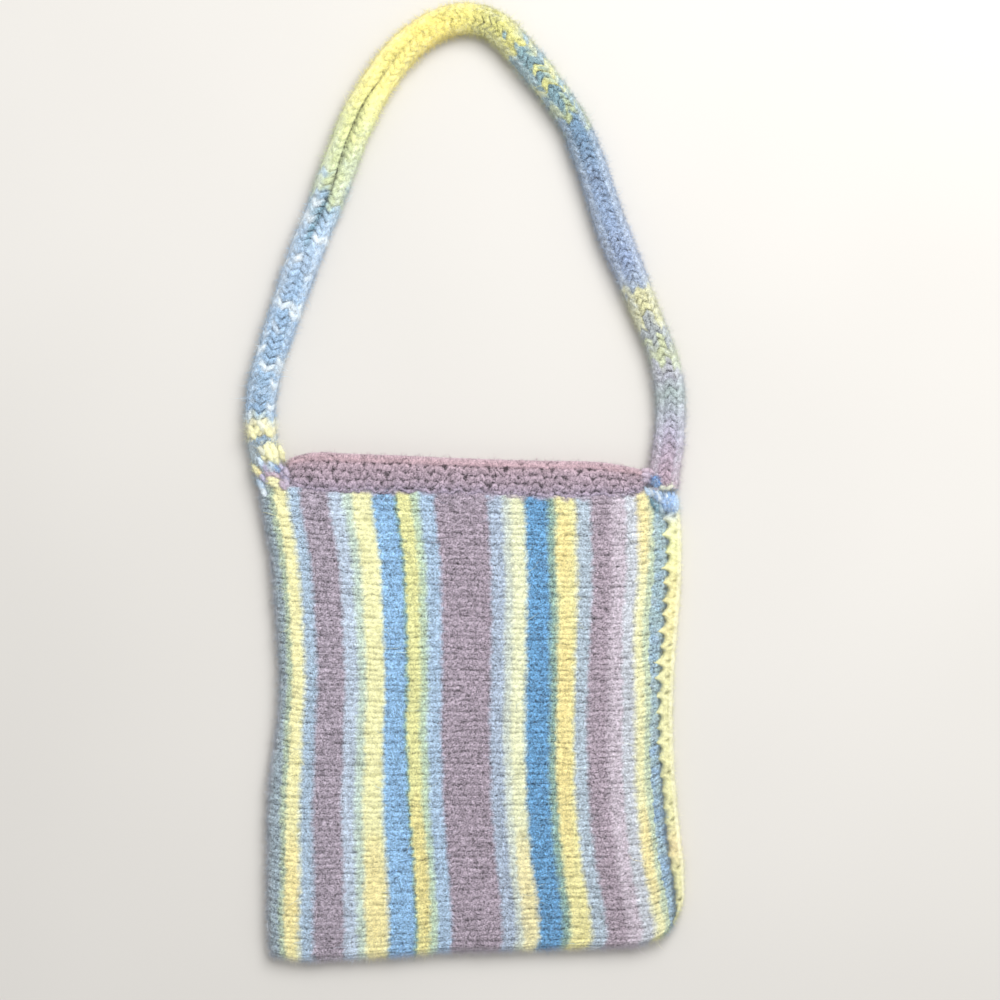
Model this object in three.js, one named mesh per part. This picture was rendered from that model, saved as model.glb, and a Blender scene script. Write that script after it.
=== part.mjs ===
// A felted wool shoulder bag that lies empty and flat on its back.
// One knitted piece is folded at the left edge and joined at the right edge and along the bottom.
// A crocheted band runs round its mouth, a crocheted seam closes the right edge,
// and a knitted tube strap is sewn to the two mouth corners.
// Millimetres. X runs to the right across the bag, Y from the bottom hem to the strap, Z up.
// The origin is at the middle of the whole bag's plan, on the surface that it lies on.

import * as THREE from 'three';

// Driving dimensions
const WALL = 4.0; // one layer of the felted knit
const BAG_CROWN = 13.8; // both layers and the air between them, at the middle
const BAG_EDGE = 11.0; // the same, beside the fold and the seam
const FOLD_RADIUS = 6.0; // how far in from an edge the cloth turns over
const FOLD_HEIGHT = 4.6; // height of the outermost line of the fold
const SIDE_WALL = 6.0; // cloth between the pocket and the bag's edge, in plan
const MOUTH_CORNER = 20.0; // the mouth is sewn shut this far in from each side, under the strap
const CORNER_RISE = 34.0; // height over which the pocket narrows to that mouth
const EDGE_POWER = 8; // how late the bag thins towards the fold and the seam
const HEM_RISE = 0.12; // share of the bag's length over which it thickens above the hem
const SLACK = { height: 0.5, across: 1.4, lean: 0.3, up: 1.7, start: -0.1 }; // waves of the upper layer
const POCKET_EDGE = 0.4; // share of the pocket's height that is left where its layers meet
const HEM_ROLL = [0, 0.25, 0.8]; // shares of the fold radius at which the hem's roll has a line
const HEM_CLOTH = 8.4; // cloth between the hem and the pocket, in plan
const PIECE_GAP = 0.35; // clearance between neighbouring pieces
const MOUTH_GAP = 0.95; // the same on the bending edge of the mouth

const BAND_WALL = 4.2; // one layer of the crocheted band
const BAND_ROWS = 3; // rows of crochet that show as ridges
const ROW_RELIEF = 0.9; // how far a row stands above the line between two rows
const BAND_END = 5.0; // cloth at each end of the band, in plan

const SEAM_WIDTH = 8.6; // the crocheted seam, in plan
const SEAM_HEIGHT = 10.2;
const SEAM_STITCHES = 27;
const STITCH_RELIEF = 1.5; // how far a seam stitch swells past the line between two stitches
const SEAM_END = 0.6; // share of its size that the seam keeps at its two ends
const SEAM_FLATTENING = 1.0; // how far the seam is pressed flat where it lies
const SEAM_FOOT = 0.035; // share of the right edge where the seam starts, above the turn into the hem
const SEAM_HEAD = 0.99; // share where it stops, under the strap

const STRAP_FLATTENING = 1.6; // how far the strap is pressed flat where it lies

// Plan of the knitted piece: the four edges as it lies, from the bottom left corner round
const LEFT_EDGE = [
  { x: -127.3, y: -308.2 },
  { x: -129.7, y: -290.2 },
  { x: -130.1, y: -239.2 },
  { x: -128.9, y: -195.2 },
  { x: -123.3, y: -154.2 },
  { x: -121.9, y: -127.2 },
  { x: -124.7, y: -87.2 },
  { x: -127.7, y: -50.2 },
  { x: -131.9, y: -27.2 },
  { x: -134.9, y: -11.2 },
  { x: -135.3, y: 0.8 },
];
const RIGHT_EDGE = [
  { x: 128.3, y: -293.8 },
  { x: 133.9, y: -286.8 },
  { x: 135.9, y: -276.2 },
  { x: 134.7, y: -261.2 },
  { x: 130.7, y: -232.2 },
  { x: 127.1, y: -193.2 },
  { x: 125.7, y: -151.2 },
  { x: 126.9, y: -117.2 },
  { x: 129.9, y: -79.2 },
  { x: 131.3, y: -49.2 },
  { x: 130.5, y: -21.2 },
  { x: 128.1, y: -2.2 },
];
const BOTTOM_EDGE = [
  { x: -127.3, y: -308.2 },
  { x: -108.3, y: -311.8 },
  { x: -82.3, y: -310.6 },
  { x: -44.3, y: -308.8 },
  { x: -16.3, y: -306.2 },
  { x: 21.7, y: -305.0 },
  { x: 61.7, y: -303.8 },
  { x: 103.7, y: -302.4 },
  { x: 120.1, y: -299.0 },
  { x: 128.3, y: -293.8 },
];
const TOP_EDGE = [
  { x: -135.3, y: 0.8 },
  { x: -117.3, y: -0.8 },
  { x: -82.3, y: -3.8 },
  { x: -43.3, y: -4.4 },
  { x: -4.3, y: -5.7 },
  { x: 34.7, y: -7.2 },
  { x: 86.7, y: -7.6 },
  { x: 112.7, y: -4.6 },
  { x: 128.1, y: -2.2 },
];

// Rim of the mouth band, from its left end to its right end
const BAND_RIM = [
  { x: -117.3, y: 12.8 },
  { x: -108.3, y: 17.4 },
  { x: -95.3, y: 19.8 },
  { x: -75.3, y: 18.8 },
  { x: -43.3, y: 17.7 },
  { x: -10.3, y: 16.1 },
  { x: 34.7, y: 14.6 },
  { x: 79.7, y: 13.8 },
  { x: 99.7, y: 11.4 },
  { x: 116.7, y: 7.8 },
];

// The strap's middle line on the surface, from the left mouth corner over the top to the right one
const STRAP_ROUTE = [
  { x: -128.7, y: 2.8 },
  { x: -130.7, y: 13.8 },
  { x: -133.7, y: 27.8 },
  { x: -134.9, y: 48.8 },
  { x: -131.5, y: 69.8 },
  { x: -123.7, y: 94.8 },
  { x: -115.1, y: 120.8 },
  { x: -104.3, y: 151.8 },
  { x: -91.9, y: 181.8 },
  { x: -80.3, y: 213.8 },
  { x: -70.1, y: 238.8 },
  { x: -57.3, y: 261.8 },
  { x: -40.3, y: 283.2 },
  { x: -19.7, y: 297.8 },
  { x: -0.7, y: 302.2 },
  { x: 17.5, y: 297.6 },
  { x: 32.7, y: 283.4 },
  { x: 47.7, y: 266.2 },
  { x: 64.1, y: 243.8 },
  { x: 74.7, y: 222.8 },
  { x: 84.3, y: 195.8 },
  { x: 94.7, y: 164.4 },
  { x: 107.5, y: 133.8 },
  { x: 118.3, y: 106.8 },
  { x: 126.7, y: 85.8 },
  { x: 131.7, y: 64.8 },
  { x: 132.5, y: 43.8 },
  { x: 131.3, y: 23.8 },
  { x: 129.3, y: 10.8 },
  { x: 128.3, y: -0.2 },
];

// The strap's own size along its length, and the depth of the ladder that runs down its left half
const STRAP_SECTIONS = [
  { along: 0.0, width: 20.0, height: 11.6, ladder: 0.0 },
  { along: 0.05, width: 18.8, height: 14.0, ladder: 0.0 },
  { along: 0.16, width: 19.4, height: 15.6, ladder: 0.0 },
  { along: 0.22, width: 21.0, height: 15.6, ladder: 0.6 },
  { along: 0.3, width: 21.4, height: 15.6, ladder: 2.0 },
  { along: 0.4, width: 20.4, height: 16.0, ladder: 2.0 },
  { along: 0.47, width: 19.4, height: 16.6, ladder: 0.2 },
  { along: 0.54, width: 18.8, height: 16.6, ladder: 0.0 },
  { along: 0.64, width: 17.2, height: 16.2, ladder: 0.0 },
  { along: 0.75, width: 19.2, height: 16.4, ladder: 0.0 },
  { along: 0.86, width: 17.2, height: 15.4, ladder: 0.0 },
  { along: 0.95, width: 17.8, height: 14.0, ladder: 0.0 },
  { along: 1.0, width: 18.4, height: 11.4, ladder: 0.0 },
];

// Mesh steps
const ACROSS_STEPS = 20;
const UP_STEPS = 15;
const ROW_STEPS = 4;
const STITCH_STEPS = 4;
const SEAM_SIDES = 10;
const STRAP_STEPS = 66;
const STRAP_SIDES = 16;

// Materials
const felt = (colour) => new THREE.MeshStandardMaterial({ color: colour, roughness: 0.95, metalness: 0 });
const stripedKnit = felt(0xb7b9c0);
const mauveCrochet = felt(0xab97a4);
const yellowYarn = felt(0xe9dd9a);
const pastelKnit = felt(0xb4bccb);

const { lerp, clamp, smoothstep } = THREE.MathUtils;

const plan = (rows) => new THREE.SplineCurve(rows.map(({ x, y }) => new THREE.Vector2(x, y)));
const leftEdge = plan(LEFT_EDGE);
const rightEdge = plan(RIGHT_EDGE);
const bottomEdge = plan(BOTTOM_EDGE);
const topEdge = plan(TOP_EDGE);
const bandRim = plan(BAND_RIM);

// Height of the band's rim at a given x
function rimHeight(x) {
  let low = 0;
  let high = 1;
  for (let halving = 0; halving < 40; halving += 1) {
    const middle = (low + high) / 2;
    if (bandRim.getPoint(middle).x < x) low = middle;
    else high = middle;
  }
  return bandRim.getPoint(low).y;
}

// A point of the cloth in plan: across runs from the fold to the seam, up from the hem to the mouth.
// The four edges are blended, so rows and columns of the cloth bend with them.
function clothPoint(across, up) {
  const bottom = bottomEdge.getPointAt(across);
  const top = topEdge.getPointAt(across);
  const left = leftEdge.getPointAt(up);
  const right = rightEdge.getPointAt(up);
  const blend = (axis) =>
    lerp(bottom[axis], top[axis], up) +
    lerp(left[axis], right[axis], across) -
    lerp(
      lerp(BOTTOM_EDGE[0][axis], BOTTOM_EDGE.at(-1)[axis], across),
      lerp(TOP_EDGE[0][axis], TOP_EDGE.at(-1)[axis], across),
      up
    );
  return new THREE.Vector2(blend('x'), blend('y'));
}

const BAG_WIDTH = RIGHT_EDGE[0].x - LEFT_EDGE[0].x;
const BAG_LENGTH = leftEdge.getLength();

// Thickness of the whole empty bag where the cloth isn't turning over
function bagThickness(across, up) {
  const fromMiddle = Math.abs(2 * across - 1);
  const fullness = (1 - fromMiddle ** EDGE_POWER) * smoothstep(up, 0, HEM_RISE);
  const sideways = Math.sin(2 * Math.PI * (SLACK.across * across + SLACK.lean * up));
  const lengthways = Math.sin(2 * Math.PI * (SLACK.up * up + SLACK.start));
  return lerp(BAG_EDGE, BAG_CROWN, fullness) + SLACK.height * sideways * lengthways * fullness;
}

// How far an edge has turned over: 0 at its outermost line, 1 where the layer lies flat
function turnedOver(distance, radius) {
  return Math.sqrt(1 - (1 - clamp(distance / radius, 0, 1)) ** 2);
}

// A closed loop: the lower side from left to right, then the upper side back
function loop(steps, pointAt) {
  const points = [];
  for (let step = 0; step <= steps; step += 1) points.push(pointAt(step / steps, false));
  for (let step = steps; step >= 0; step -= 1) points.push(pointAt(step / steps, true));
  return points;
}

// Steps from 0 to 1 that crowd towards both ends
const crowded = (share) => (1 - Math.cos(Math.PI * share)) / 2;

// Height of the mouth's edge at a given x, along the straight facets between its points and on past the last
const mouthEdge = Array.from({ length: ACROSS_STEPS + 1 }, (_, step) =>
  clothPoint(crowded(step / ACROSS_STEPS), 1)
);
function mouthHeight(x) {
  const next = mouthEdge.findIndex(
    (point, step) => step > 0 && (point.x >= x || step === ACROSS_STEPS)
  );
  const before = mouthEdge[next - 1];
  const after = mouthEdge[next];
  return lerp(before.y, after.y, (x - before.x) / (after.x - before.x));
}

// A closed solid through a run of loops with equal counts.
// It is a ring if the last loop joins the first, and otherwise its two ends are closed across.
function loftGeometry(loops, isRing) {
  const count = loops[0].length;
  const positions = loops.flat().flatMap((point) => point.toArray());
  const triangles = [];
  const quad = (a, b, c, d) => triangles.push(a, b, c, a, c, d);
  const spans = isRing ? loops.length : loops.length - 1;
  for (let span = 0; span < spans; span += 1) {
    const here = span * count;
    const next = ((span + 1) % loops.length) * count;
    for (let side = 0; side < count; side += 1) {
      const after = (side + 1) % count;
      quad(here + side, next + side, next + after, here + after);
    }
  }
  if (!isRing) {
    const end = (loops.length - 1) * count;
    for (let side = 0; side < count / 2 - 1; side += 1) {
      const facing = count - 1 - side;
      quad(side, side + 1, facing - 1, facing);
      quad(end + side, end + facing, end + facing - 1, end + side + 1);
    }
  }
  const geometry = new THREE.BufferGeometry();
  geometry.setAttribute('position', new THREE.Float32BufferAttribute(positions, 3));
  geometry.setIndex(triangles);
  geometry.computeVertexNormals();
  return geometry;
}

function piece(name, geometry, material) {
  const mesh = new THREE.Mesh(geometry, material);
  mesh.name = name;
  return mesh;
}

// The knitted piece: its outside from the hem up to the mouth, then its inside back down
function makeBody() {
  const outside = (up) =>
    loop(ACROSS_STEPS, (share, isUpper) => {
      const across = crowded(share);
      const { x, y } = clothPoint(across, up);
      const fromEdge = Math.min(across * BAG_WIDTH, (1 - across) * BAG_WIDTH, up * BAG_LENGTH);
      const flat = turnedOver(fromEdge, FOLD_RADIUS);
      const z = isUpper ? lerp(FOLD_HEIGHT, bagThickness(across, up), flat) : FOLD_HEIGHT * (1 - flat);
      return new THREE.Vector3(x, y, z);
    });
  const inside = (up) =>
    loop(ACROSS_STEPS, (share, isUpper) => {
      const narrowing = MOUTH_CORNER * smoothstep(up * BAG_LENGTH, BAG_LENGTH - CORNER_RISE, BAG_LENGTH);
      const inset = (SIDE_WALL + narrowing) / BAG_WIDTH;
      const across = lerp(inset, 1 - inset, crowded(share));
      const { x, y } = clothPoint(across, up);
      const ceiling = bagThickness(across, up) - WALL;
      const fromWall = Math.min((across - inset) * BAG_WIDTH, (1 - inset - across) * BAG_WIDTH);
      const open = lerp(POCKET_EDGE, 1, turnedOver(fromWall, WALL));
      const middle = (WALL + ceiling) / 2;
      return new THREE.Vector3(x, y, lerp(middle, isUpper ? ceiling : WALL, open));
    });
  const pocketFloor = HEM_CLOTH / BAG_LENGTH;
  const loops = HEM_ROLL.map((share) => outside((share * FOLD_RADIUS) / BAG_LENGTH));
  for (let step = 1; step <= UP_STEPS; step += 1) loops.push(outside(lerp(pocketFloor, 1, step / UP_STEPS)));
  for (let step = UP_STEPS; step >= 0; step -= 1) loops.push(inside(lerp(pocketFloor, 1, step / UP_STEPS)));
  return piece('body', loftGeometry(loops, false), stripedKnit);
}

// The crocheted band: a ring of rows on the mouth's edge, outside going up and inside going down
function makeMouthBand() {
  const start = BAND_RIM[0].x;
  const width = BAND_RIM.at(-1).x - start;
  const bandPoint = (across, up) => {
    const x = start + across * width;
    return { x, y: lerp(mouthHeight(x) + MOUTH_GAP, rimHeight(x), up) };
  };
  const thicknessAt = (x) => {
    const across = (x - TOP_EDGE[0].x) / (TOP_EDGE.at(-1).x - TOP_EDGE[0].x);
    return bagThickness(across, 1);
  };
  const outside = (up) =>
    loop(ACROSS_STEPS, (share, isUpper) => {
      const across = crowded(share);
      const { x, y } = bandPoint(across, up);
      const flat = turnedOver(Math.min(across, 1 - across) * width, FOLD_RADIUS);
      const row = Math.abs(Math.sin(Math.PI * BAND_ROWS * up));
      const top = thicknessAt(x) + ROW_RELIEF * (row - 1);
      return new THREE.Vector3(x, y, isUpper ? lerp(FOLD_HEIGHT, top, flat) : FOLD_HEIGHT * (1 - flat));
    });
  const inset = BAND_END / width;
  const inside = (up) =>
    loop(ACROSS_STEPS, (share, isUpper) => {
      const across = lerp(inset, 1 - inset, crowded(share));
      const { x, y } = bandPoint(across, up);
      const ceiling = thicknessAt(x) - BAND_WALL;
      const fromEnd = Math.min(across - inset, 1 - inset - across) * width;
      const open = lerp(POCKET_EDGE, 1, turnedOver(fromEnd, BAND_WALL));
      const middle = (BAND_WALL + ceiling) / 2;
      return new THREE.Vector3(x, y, lerp(middle, isUpper ? ceiling : BAND_WALL, open));
    });
  const rises = BAND_ROWS * ROW_STEPS;
  const loops = [];
  for (let rise = 0; rise <= rises; rise += 1) loops.push(outside(rise / rises));
  for (let rise = BAND_ROWS; rise >= 0; rise -= 1) loops.push(inside(rise / BAND_ROWS));
  return piece('mouth_band', loftGeometry(loops, true), mauveCrochet);
}

// A flat-bottomed cross-section: aside is measured across the run, up from the surface
function restingSection(sides, width, height, flattening) {
  const points = [];
  for (let side = 0; side < sides; side += 1) {
    const angle = 2 * Math.PI * (side / sides) - Math.PI / 2;
    const reach = Math.sin(angle) < 0 ? height / 2 + flattening : height / 2;
    points.push({
      aside: (width / 2) * Math.cos(angle),
      up: Math.max(0, height / 2 + reach * Math.sin(angle)),
    });
  }
  return points;
}

// The crocheted seam: a roll of stitches that lies along the right edge
function makeSideSeam() {
  const steps = SEAM_STITCHES * STITCH_STEPS;
  const loops = [];
  for (let step = 0; step <= steps; step += 1) {
    const along = step / steps;
    const up = lerp(SEAM_FOOT, SEAM_HEAD, along);
    const edge = rightEdge.getPointAt(up);
    const run = rightEdge.getTangentAt(up);
    const outward = new THREE.Vector2(run.y, -run.x);
    const swell = Math.abs(Math.sin(Math.PI * SEAM_STITCHES * along)) - 1;
    const ends = turnedOver(Math.min(along, 1 - along) * BAG_LENGTH, SEAM_WIDTH / 2);
    const width = (SEAM_WIDTH + STITCH_RELIEF * swell) * lerp(SEAM_END, 1, ends);
    const height = (SEAM_HEIGHT + STITCH_RELIEF * swell) * lerp(SEAM_END, 1, ends);
    const section = restingSection(SEAM_SIDES, width, height, SEAM_FLATTENING);
    loops.push(
      section.map(({ aside, up: z }) => {
        const reach = PIECE_GAP + width / 2 + aside;
        return new THREE.Vector3(edge.x + outward.x * reach, edge.y + outward.y * reach, z);
      })
    );
  }
  return piece('side_seam', loftGeometry(loops, false), yellowYarn);
}

// The strap's size at a share of its length
function strapSize(along) {
  const next = Math.max(1, STRAP_SECTIONS.findIndex((row) => row.along >= along));
  const before = STRAP_SECTIONS[next - 1];
  const after = STRAP_SECTIONS[next];
  const share = smoothstep(along, before.along, after.along);
  const between = (column) => lerp(before[column], after[column], share);
  return { width: between('width'), height: between('height'), ladder: between('ladder') };
}

// The strap: a knitted tube that lies on the surface and ends on the mouth corners
function makeStrap() {
  const route = plan(STRAP_ROUTE);
  const topSide = STRAP_SIDES / 2;
  const loops = [];
  for (let step = 0; step <= STRAP_STEPS; step += 1) {
    const along = step / STRAP_STEPS;
    const middle = route.getPointAt(along);
    const run = route.getTangentAt(along);
    const { width, height, ladder } = strapSize(along);
    const section = restingSection(STRAP_SIDES, width, height, STRAP_FLATTENING);
    section[topSide].up -= ladder;
    const atEnd = step === 0 || step === STRAP_STEPS;
    loops.push(
      section.map(({ aside, up }) => {
        const x = middle.x + run.y * aside;
        const y = middle.y - run.x * aside;
        return new THREE.Vector3(x, atEnd ? mouthHeight(x) + MOUTH_GAP : y, up);
      })
    );
  }
  return piece('strap', loftGeometry(loops, false), pastelKnit);
}

const bag = new THREE.Group();
bag.add(makeBody(), makeMouthBand(), makeSideSeam(), makeStrap());

export default bag;
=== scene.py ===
# %% [markdown]
# # A striped wool shoulder bag, lying flat
#
# The bag is knitted sideways from thick wool, folded in half and closed along one side with a
# crocheted seam. A crocheted band goes round its mouth, and a knitted tube carries it. A hot wash
# has felted it a little, so its stitches are soft and every edge is hairy.
#
# The measured solids of the part come in first. Every piece below is made in metres in their frame,
# takes a solid's place and has a finer form than the solid.

import bpy
import numpy as np
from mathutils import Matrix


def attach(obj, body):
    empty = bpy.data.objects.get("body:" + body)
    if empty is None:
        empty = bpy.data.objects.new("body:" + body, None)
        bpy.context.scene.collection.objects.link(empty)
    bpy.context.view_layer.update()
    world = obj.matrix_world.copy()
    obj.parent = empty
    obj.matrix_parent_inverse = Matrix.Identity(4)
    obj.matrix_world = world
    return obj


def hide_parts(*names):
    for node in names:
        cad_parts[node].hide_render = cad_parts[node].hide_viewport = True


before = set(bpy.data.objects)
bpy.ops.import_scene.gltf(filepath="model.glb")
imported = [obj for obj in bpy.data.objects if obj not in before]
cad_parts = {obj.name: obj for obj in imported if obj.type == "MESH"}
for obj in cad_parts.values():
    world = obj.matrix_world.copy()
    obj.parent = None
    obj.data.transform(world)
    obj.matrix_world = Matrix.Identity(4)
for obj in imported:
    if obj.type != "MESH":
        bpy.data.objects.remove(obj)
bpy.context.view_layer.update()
MM = 0.001

# %% [markdown]
# ## The camera
#
# The photograph looks straight down on the bag, from far enough away that its sides hardly show.
# One picture is 650 mm wide at the height of the cloth, so the lens follows from the camera's height.
# The plain view transform keeps the wool's colours as they are mixed here.

# %% Camera
PICTURE_WIDTH = 650 * MM
PICTURE_MIDDLE = (21.5 * MM, -11.2 * MM)
CAMERA_HEIGHT = 1900 * MM
CLOTH_HEIGHT = 12 * MM

scene = bpy.context.scene
scene.view_settings.view_transform = "Standard"
camera = bpy.data.objects.new("camera", bpy.data.cameras.new("camera"))
scene.collection.objects.link(camera)
camera.location = (*PICTURE_MIDDLE, CAMERA_HEIGHT)
camera.data.lens = camera.data.sensor_width * (CAMERA_HEIGHT - CLOTH_HEIGHT) / PICTURE_WIDTH
scene.camera = camera
print("Lens of", round(camera.data.lens, 1), "mm at", CAMERA_HEIGHT, "m")

# %% [markdown]
# ## Lines, blends and lumps
#
# Hand-made things have no straight edges. Each edge of the bag is a short table of points with a
# smooth line through them, asked for its places by the share of its length. Bells and windows say where
# something happens along or across a piece. Lumps are soft random values over a plane, for all that a
# hand and a hot wash leave uneven.

# %% Routes and blends
NEAR = 0.002
STEPS_A_SPAN = 40
LUMP_SQUARES = 256


class Route:
    """A smooth line through points, asked for its places by their share of its length."""

    def __init__(self, points):
        corners = np.asarray(points, float)
        last = len(corners) - 1
        step = np.linspace(0, last, STEPS_A_SPAN * last + 1)
        start = step.astype(int)
        share = (step - start)[:, None]
        before, here, after, beyond = (corners[np.clip(start + k, 0, last)] for k in (-1, 0, 1, 2))
        leave = (after - before) / 2
        arrive = (beyond - here) / 2
        bend = (2 * here - 2 * after + leave + arrive) * share**3
        sweep = (3 * after - 3 * here - 2 * leave - arrive) * share**2
        self.line = bend + sweep + leave * share + here
        steps = np.linalg.norm(np.diff(self.line, axis=0), axis=1)
        travelled = np.concatenate([[0], np.cumsum(steps)])
        self.length = travelled[-1]
        self.shares = travelled / self.length

    def at(self, share):
        return np.stack([np.interp(share, self.shares, axis) for axis in self.line.T], axis=-1)

    def heading(self, share):
        """The way the line runs at a share of its length."""
        ahead = self.at(np.minimum(share + NEAR, 1)) - self.at(np.maximum(share - NEAR, 0))
        return ahead / np.linalg.norm(ahead, axis=-1, keepdims=True)


def soft(share):
    """A share from 0 to 1 that leaves and arrives slowly."""
    kept = np.clip(share, 0, 1)
    return kept * kept * (3 - 2 * kept)


def blend(low, high, share):
    return low + (high - low) * share


def bell(distance, half):
    """1 on a line, falling away softly on both sides of it."""
    return np.exp(-((distance / half) ** 2))


def window(share, start, rise, end, fall):
    """1 between a start and an end, after a soft rise and before a soft fall."""
    return soft((share - start) / rise) * soft((end - share) / fall)


def lumps(x, y, size, seed):
    """Soft random values from -1 to 1 over a plane, one for every square of that size."""
    squares = np.random.default_rng(seed).uniform(-1, 1, (LUMP_SQUARES, LUMP_SQUARES))
    column, across = np.divmod(x / size, 1)
    row, up = np.divmod(y / size, 1)
    near, far = (np.mod(column.astype(int) + k, LUMP_SQUARES) for k in (0, 1))
    low, high = (np.mod(row.astype(int) + k, LUMP_SQUARES) for k in (0, 1))
    first = blend(squares[low, near], squares[low, far], soft(across))
    second = blend(squares[high, near], squares[high, far], soft(across))
    return blend(first, second, soft(up))


print("A route through three points is", round(Route([(0, 0), (1, 1), (2, 0)]).length, 3), "long")

# %% [markdown]
# ## From arrays to meshes
#
# A knit has thousands of stitches, which are too many for objects of their own. Each piece is
# one mesh, worked out with arrays: a grid of points, moved along its own normals by the height of
# the stitches. Values such as the place in the stripes are kept on the points for the materials.

# %% Grids and pieces
def grid_faces(rows, columns, closed=False, first=0):
    """Quads of a grid of points, numbered row by row. A closed grid joins its last column to its first."""
    across = np.arange(columns if closed else columns - 1)
    row, column = np.meshgrid(np.arange(rows - 1), across, indexing="ij")
    beside = (column + 1) % columns
    corners = (row * columns + column, row * columns + beside)
    above = ((row + 1) * columns + beside, (row + 1) * columns + column)
    return first + np.stack([*corners, *above], axis=-1).reshape(-1, 4)


def tube_faces(rings, sides):
    """Faces of a tube of rings of points, with a fan at each end round one more point."""
    count = rings * sides
    last = count - sides
    fans = [((k + 1) % sides, k, count) for k in range(sides)]
    fans += [(last + k, last + (k + 1) % sides, count + 1) for k in range(sides)]
    return grid_faces(rings, sides, closed=True).tolist() + fans


def grid_normals(points, closed=False):
    """Unit normals of a grid of points, from the differences between neighbours."""
    along = np.gradient(points, axis=0)
    if closed:
        across = np.roll(points, -1, axis=1) - np.roll(points, 1, axis=1)
    else:
        across = np.gradient(points, axis=1)
    normals = np.cross(across, along)
    return normals / np.maximum(np.linalg.norm(normals, axis=-1, keepdims=True), 1e-12)


def raised(plan, level):
    """Points over a plan in metres, at heights in millimetres."""
    return np.concatenate([plan, level[..., None] * MM], axis=-1)


def repeated(faces, each, count):
    """Faces of many small meshes that are alike, each with so many points."""
    return [tuple(each * k + point for point in face) for k in range(count) for face in faces]


def facing_out(points, faces):
    """The faces of a closed mesh, all turned round if they enclose a volume below zero."""
    fans = [(face[0], face[k], face[k + 1]) for face in faces for k in range(1, len(face) - 1)]
    first, second, third = points[np.array(fans)].transpose(1, 0, 2)
    inside = np.einsum("ij,ij->", first, np.cross(second, third))
    return [face[::-1] for face in faces] if inside < 0 else faces


def add_piece(name, points, faces, slot, wool, node=None, **values):
    """One smooth mesh object over the floor, riding on the frame, with its values kept on its points."""
    corners = np.array(points).reshape(-1, 3)
    corners[:, 2] = np.maximum(corners[:, 2], 0)
    mesh = bpy.data.meshes.new(name)
    mesh.from_pydata(corners.tolist(), [], facing_out(corners, faces))
    mesh.polygons.foreach_set("use_smooth", np.ones(len(mesh.polygons), bool))
    for label, value in values.items():
        kept = mesh.attributes.new(label, "FLOAT", "POINT")
        kept.data.foreach_set("value", np.ravel(value).astype(np.float32))
    mesh.materials.append(wool)
    mesh.update()
    piece = bpy.data.objects.new(name, mesh)
    scene.collection.objects.link(piece)
    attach(piece, "root")
    piece["slot_name"] = slot
    if node:
        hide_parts(node)
    print(name, "has", sum(len(face) - 2 for face in faces), "triangles")
    return piece


print("A grid of nine points has", len(grid_faces(3, 3)), "quads")

# %% [markdown]
# ## The stocking stitch
#
# Strap and pouch are both stocking stitch: columns of small Vs, each V pulled through the one before
# it. A row counts along the knitting and a wale across it. Each leg of a V is a rounded ridge that
# leans outwards and dives under the next stitch. Felting fills the grooves with loose wool, more in
# some places than in others, which leaves short dashes of groove, darkened by real shade and by shade
# that the materials paint.

# %% Height of the stitches
LEG_LEAN = 0.35
LEG_PEAK = 0.8
WALE_GROOVE = 0.5
WALE_GROOVE_HALF = 0.06
LEG_GROOVE = 0.3
LEG_GROOVE_HALF = 0.05


def bump_of(x, y, middle, half):
    """A round bump from 0 to 1 in the middle, over an ellipse."""
    return np.sqrt(np.maximum(1 - ((x - middle[0]) / half[0]) ** 2 - ((y - middle[1]) / half[1]) ** 2, 0))


def stocking_stitch(row, wale, leg_reach, foot_spread, head_spread, leg_half):
    """Height of the knit from 0 to 1, the row of the stitch on top as its leg leans, and the leg."""
    column = np.floor(wale)
    sideways = wale - column - 0.5
    height = np.zeros_like(row)
    place = row.copy()
    for earlier in (0, 1):
        stitch = np.floor(row) - earlier
        reach = (row - stitch) / leg_reach
        spread = blend(foot_spread, head_spread, reach)
        round_off = 1 - ((np.abs(sideways) - spread) / leg_half) ** 2
        dive = 1 - np.abs(2 * np.clip(reach, 0, 1) - LEG_PEAK) ** 3 / (2 - LEG_PEAK) ** 3
        ridge = np.sqrt(np.maximum(round_off, 0)) * dive * (reach <= 1)
        place = np.where(ridge > height, stitch + 0.5 + LEG_LEAN * (reach - 0.5), place)
        height = np.maximum(height, ridge)
    return height, place, 2 * column + (sideways > 0)


def chevron_stitch(row, wale, slope):
    """Height, place along the Vs, row and leg of thick stocking stitch, whose legs lie close together."""
    column = np.floor(wale)
    sideways = np.abs(wale - column - 0.5)
    place = row - slope * sideways
    across_leg = 2 * (place - np.floor(place)) - 1
    between_wales = WALE_GROOVE * bell(0.5 - sideways, WALE_GROOVE_HALF)
    grooves = between_wales + LEG_GROOVE * bell(sideways, LEG_GROOVE_HALF)
    height = np.sqrt(1 - np.abs(across_leg) ** 3) * (1 - grooves)
    return height, place, np.floor(place) + 0.5, 2 * column + (wale - column > 0.5)


one_leg = stocking_stitch(np.array([0.6]), np.array([0.7]), 1.4, 0.1, 0.35, 0.2)[0]
print("A leg stands", one_leg.round(2), "of the relief high")

# %% [markdown]
# ## Wool by nodes
#
# Materials are built from nodes, and sums written with nodes are hard to read. This small class wraps
# a socket, so that a sum in Python adds the nodes that work it out. Numbers go through Math nodes, and
# colours through Mix nodes, because a Math node would turn a colour grey.

# %% Sockets that do sums
def lay_stops(ramp, stops):
    """Gives a colour ramp its stops, which are places with colours."""
    ramp.elements.remove(ramp.elements[1])
    ramp.elements[0].position, ramp.elements[0].color = stops[0]
    for position, colour in stops[1:]:
        ramp.elements.new(position).color = colour


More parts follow.
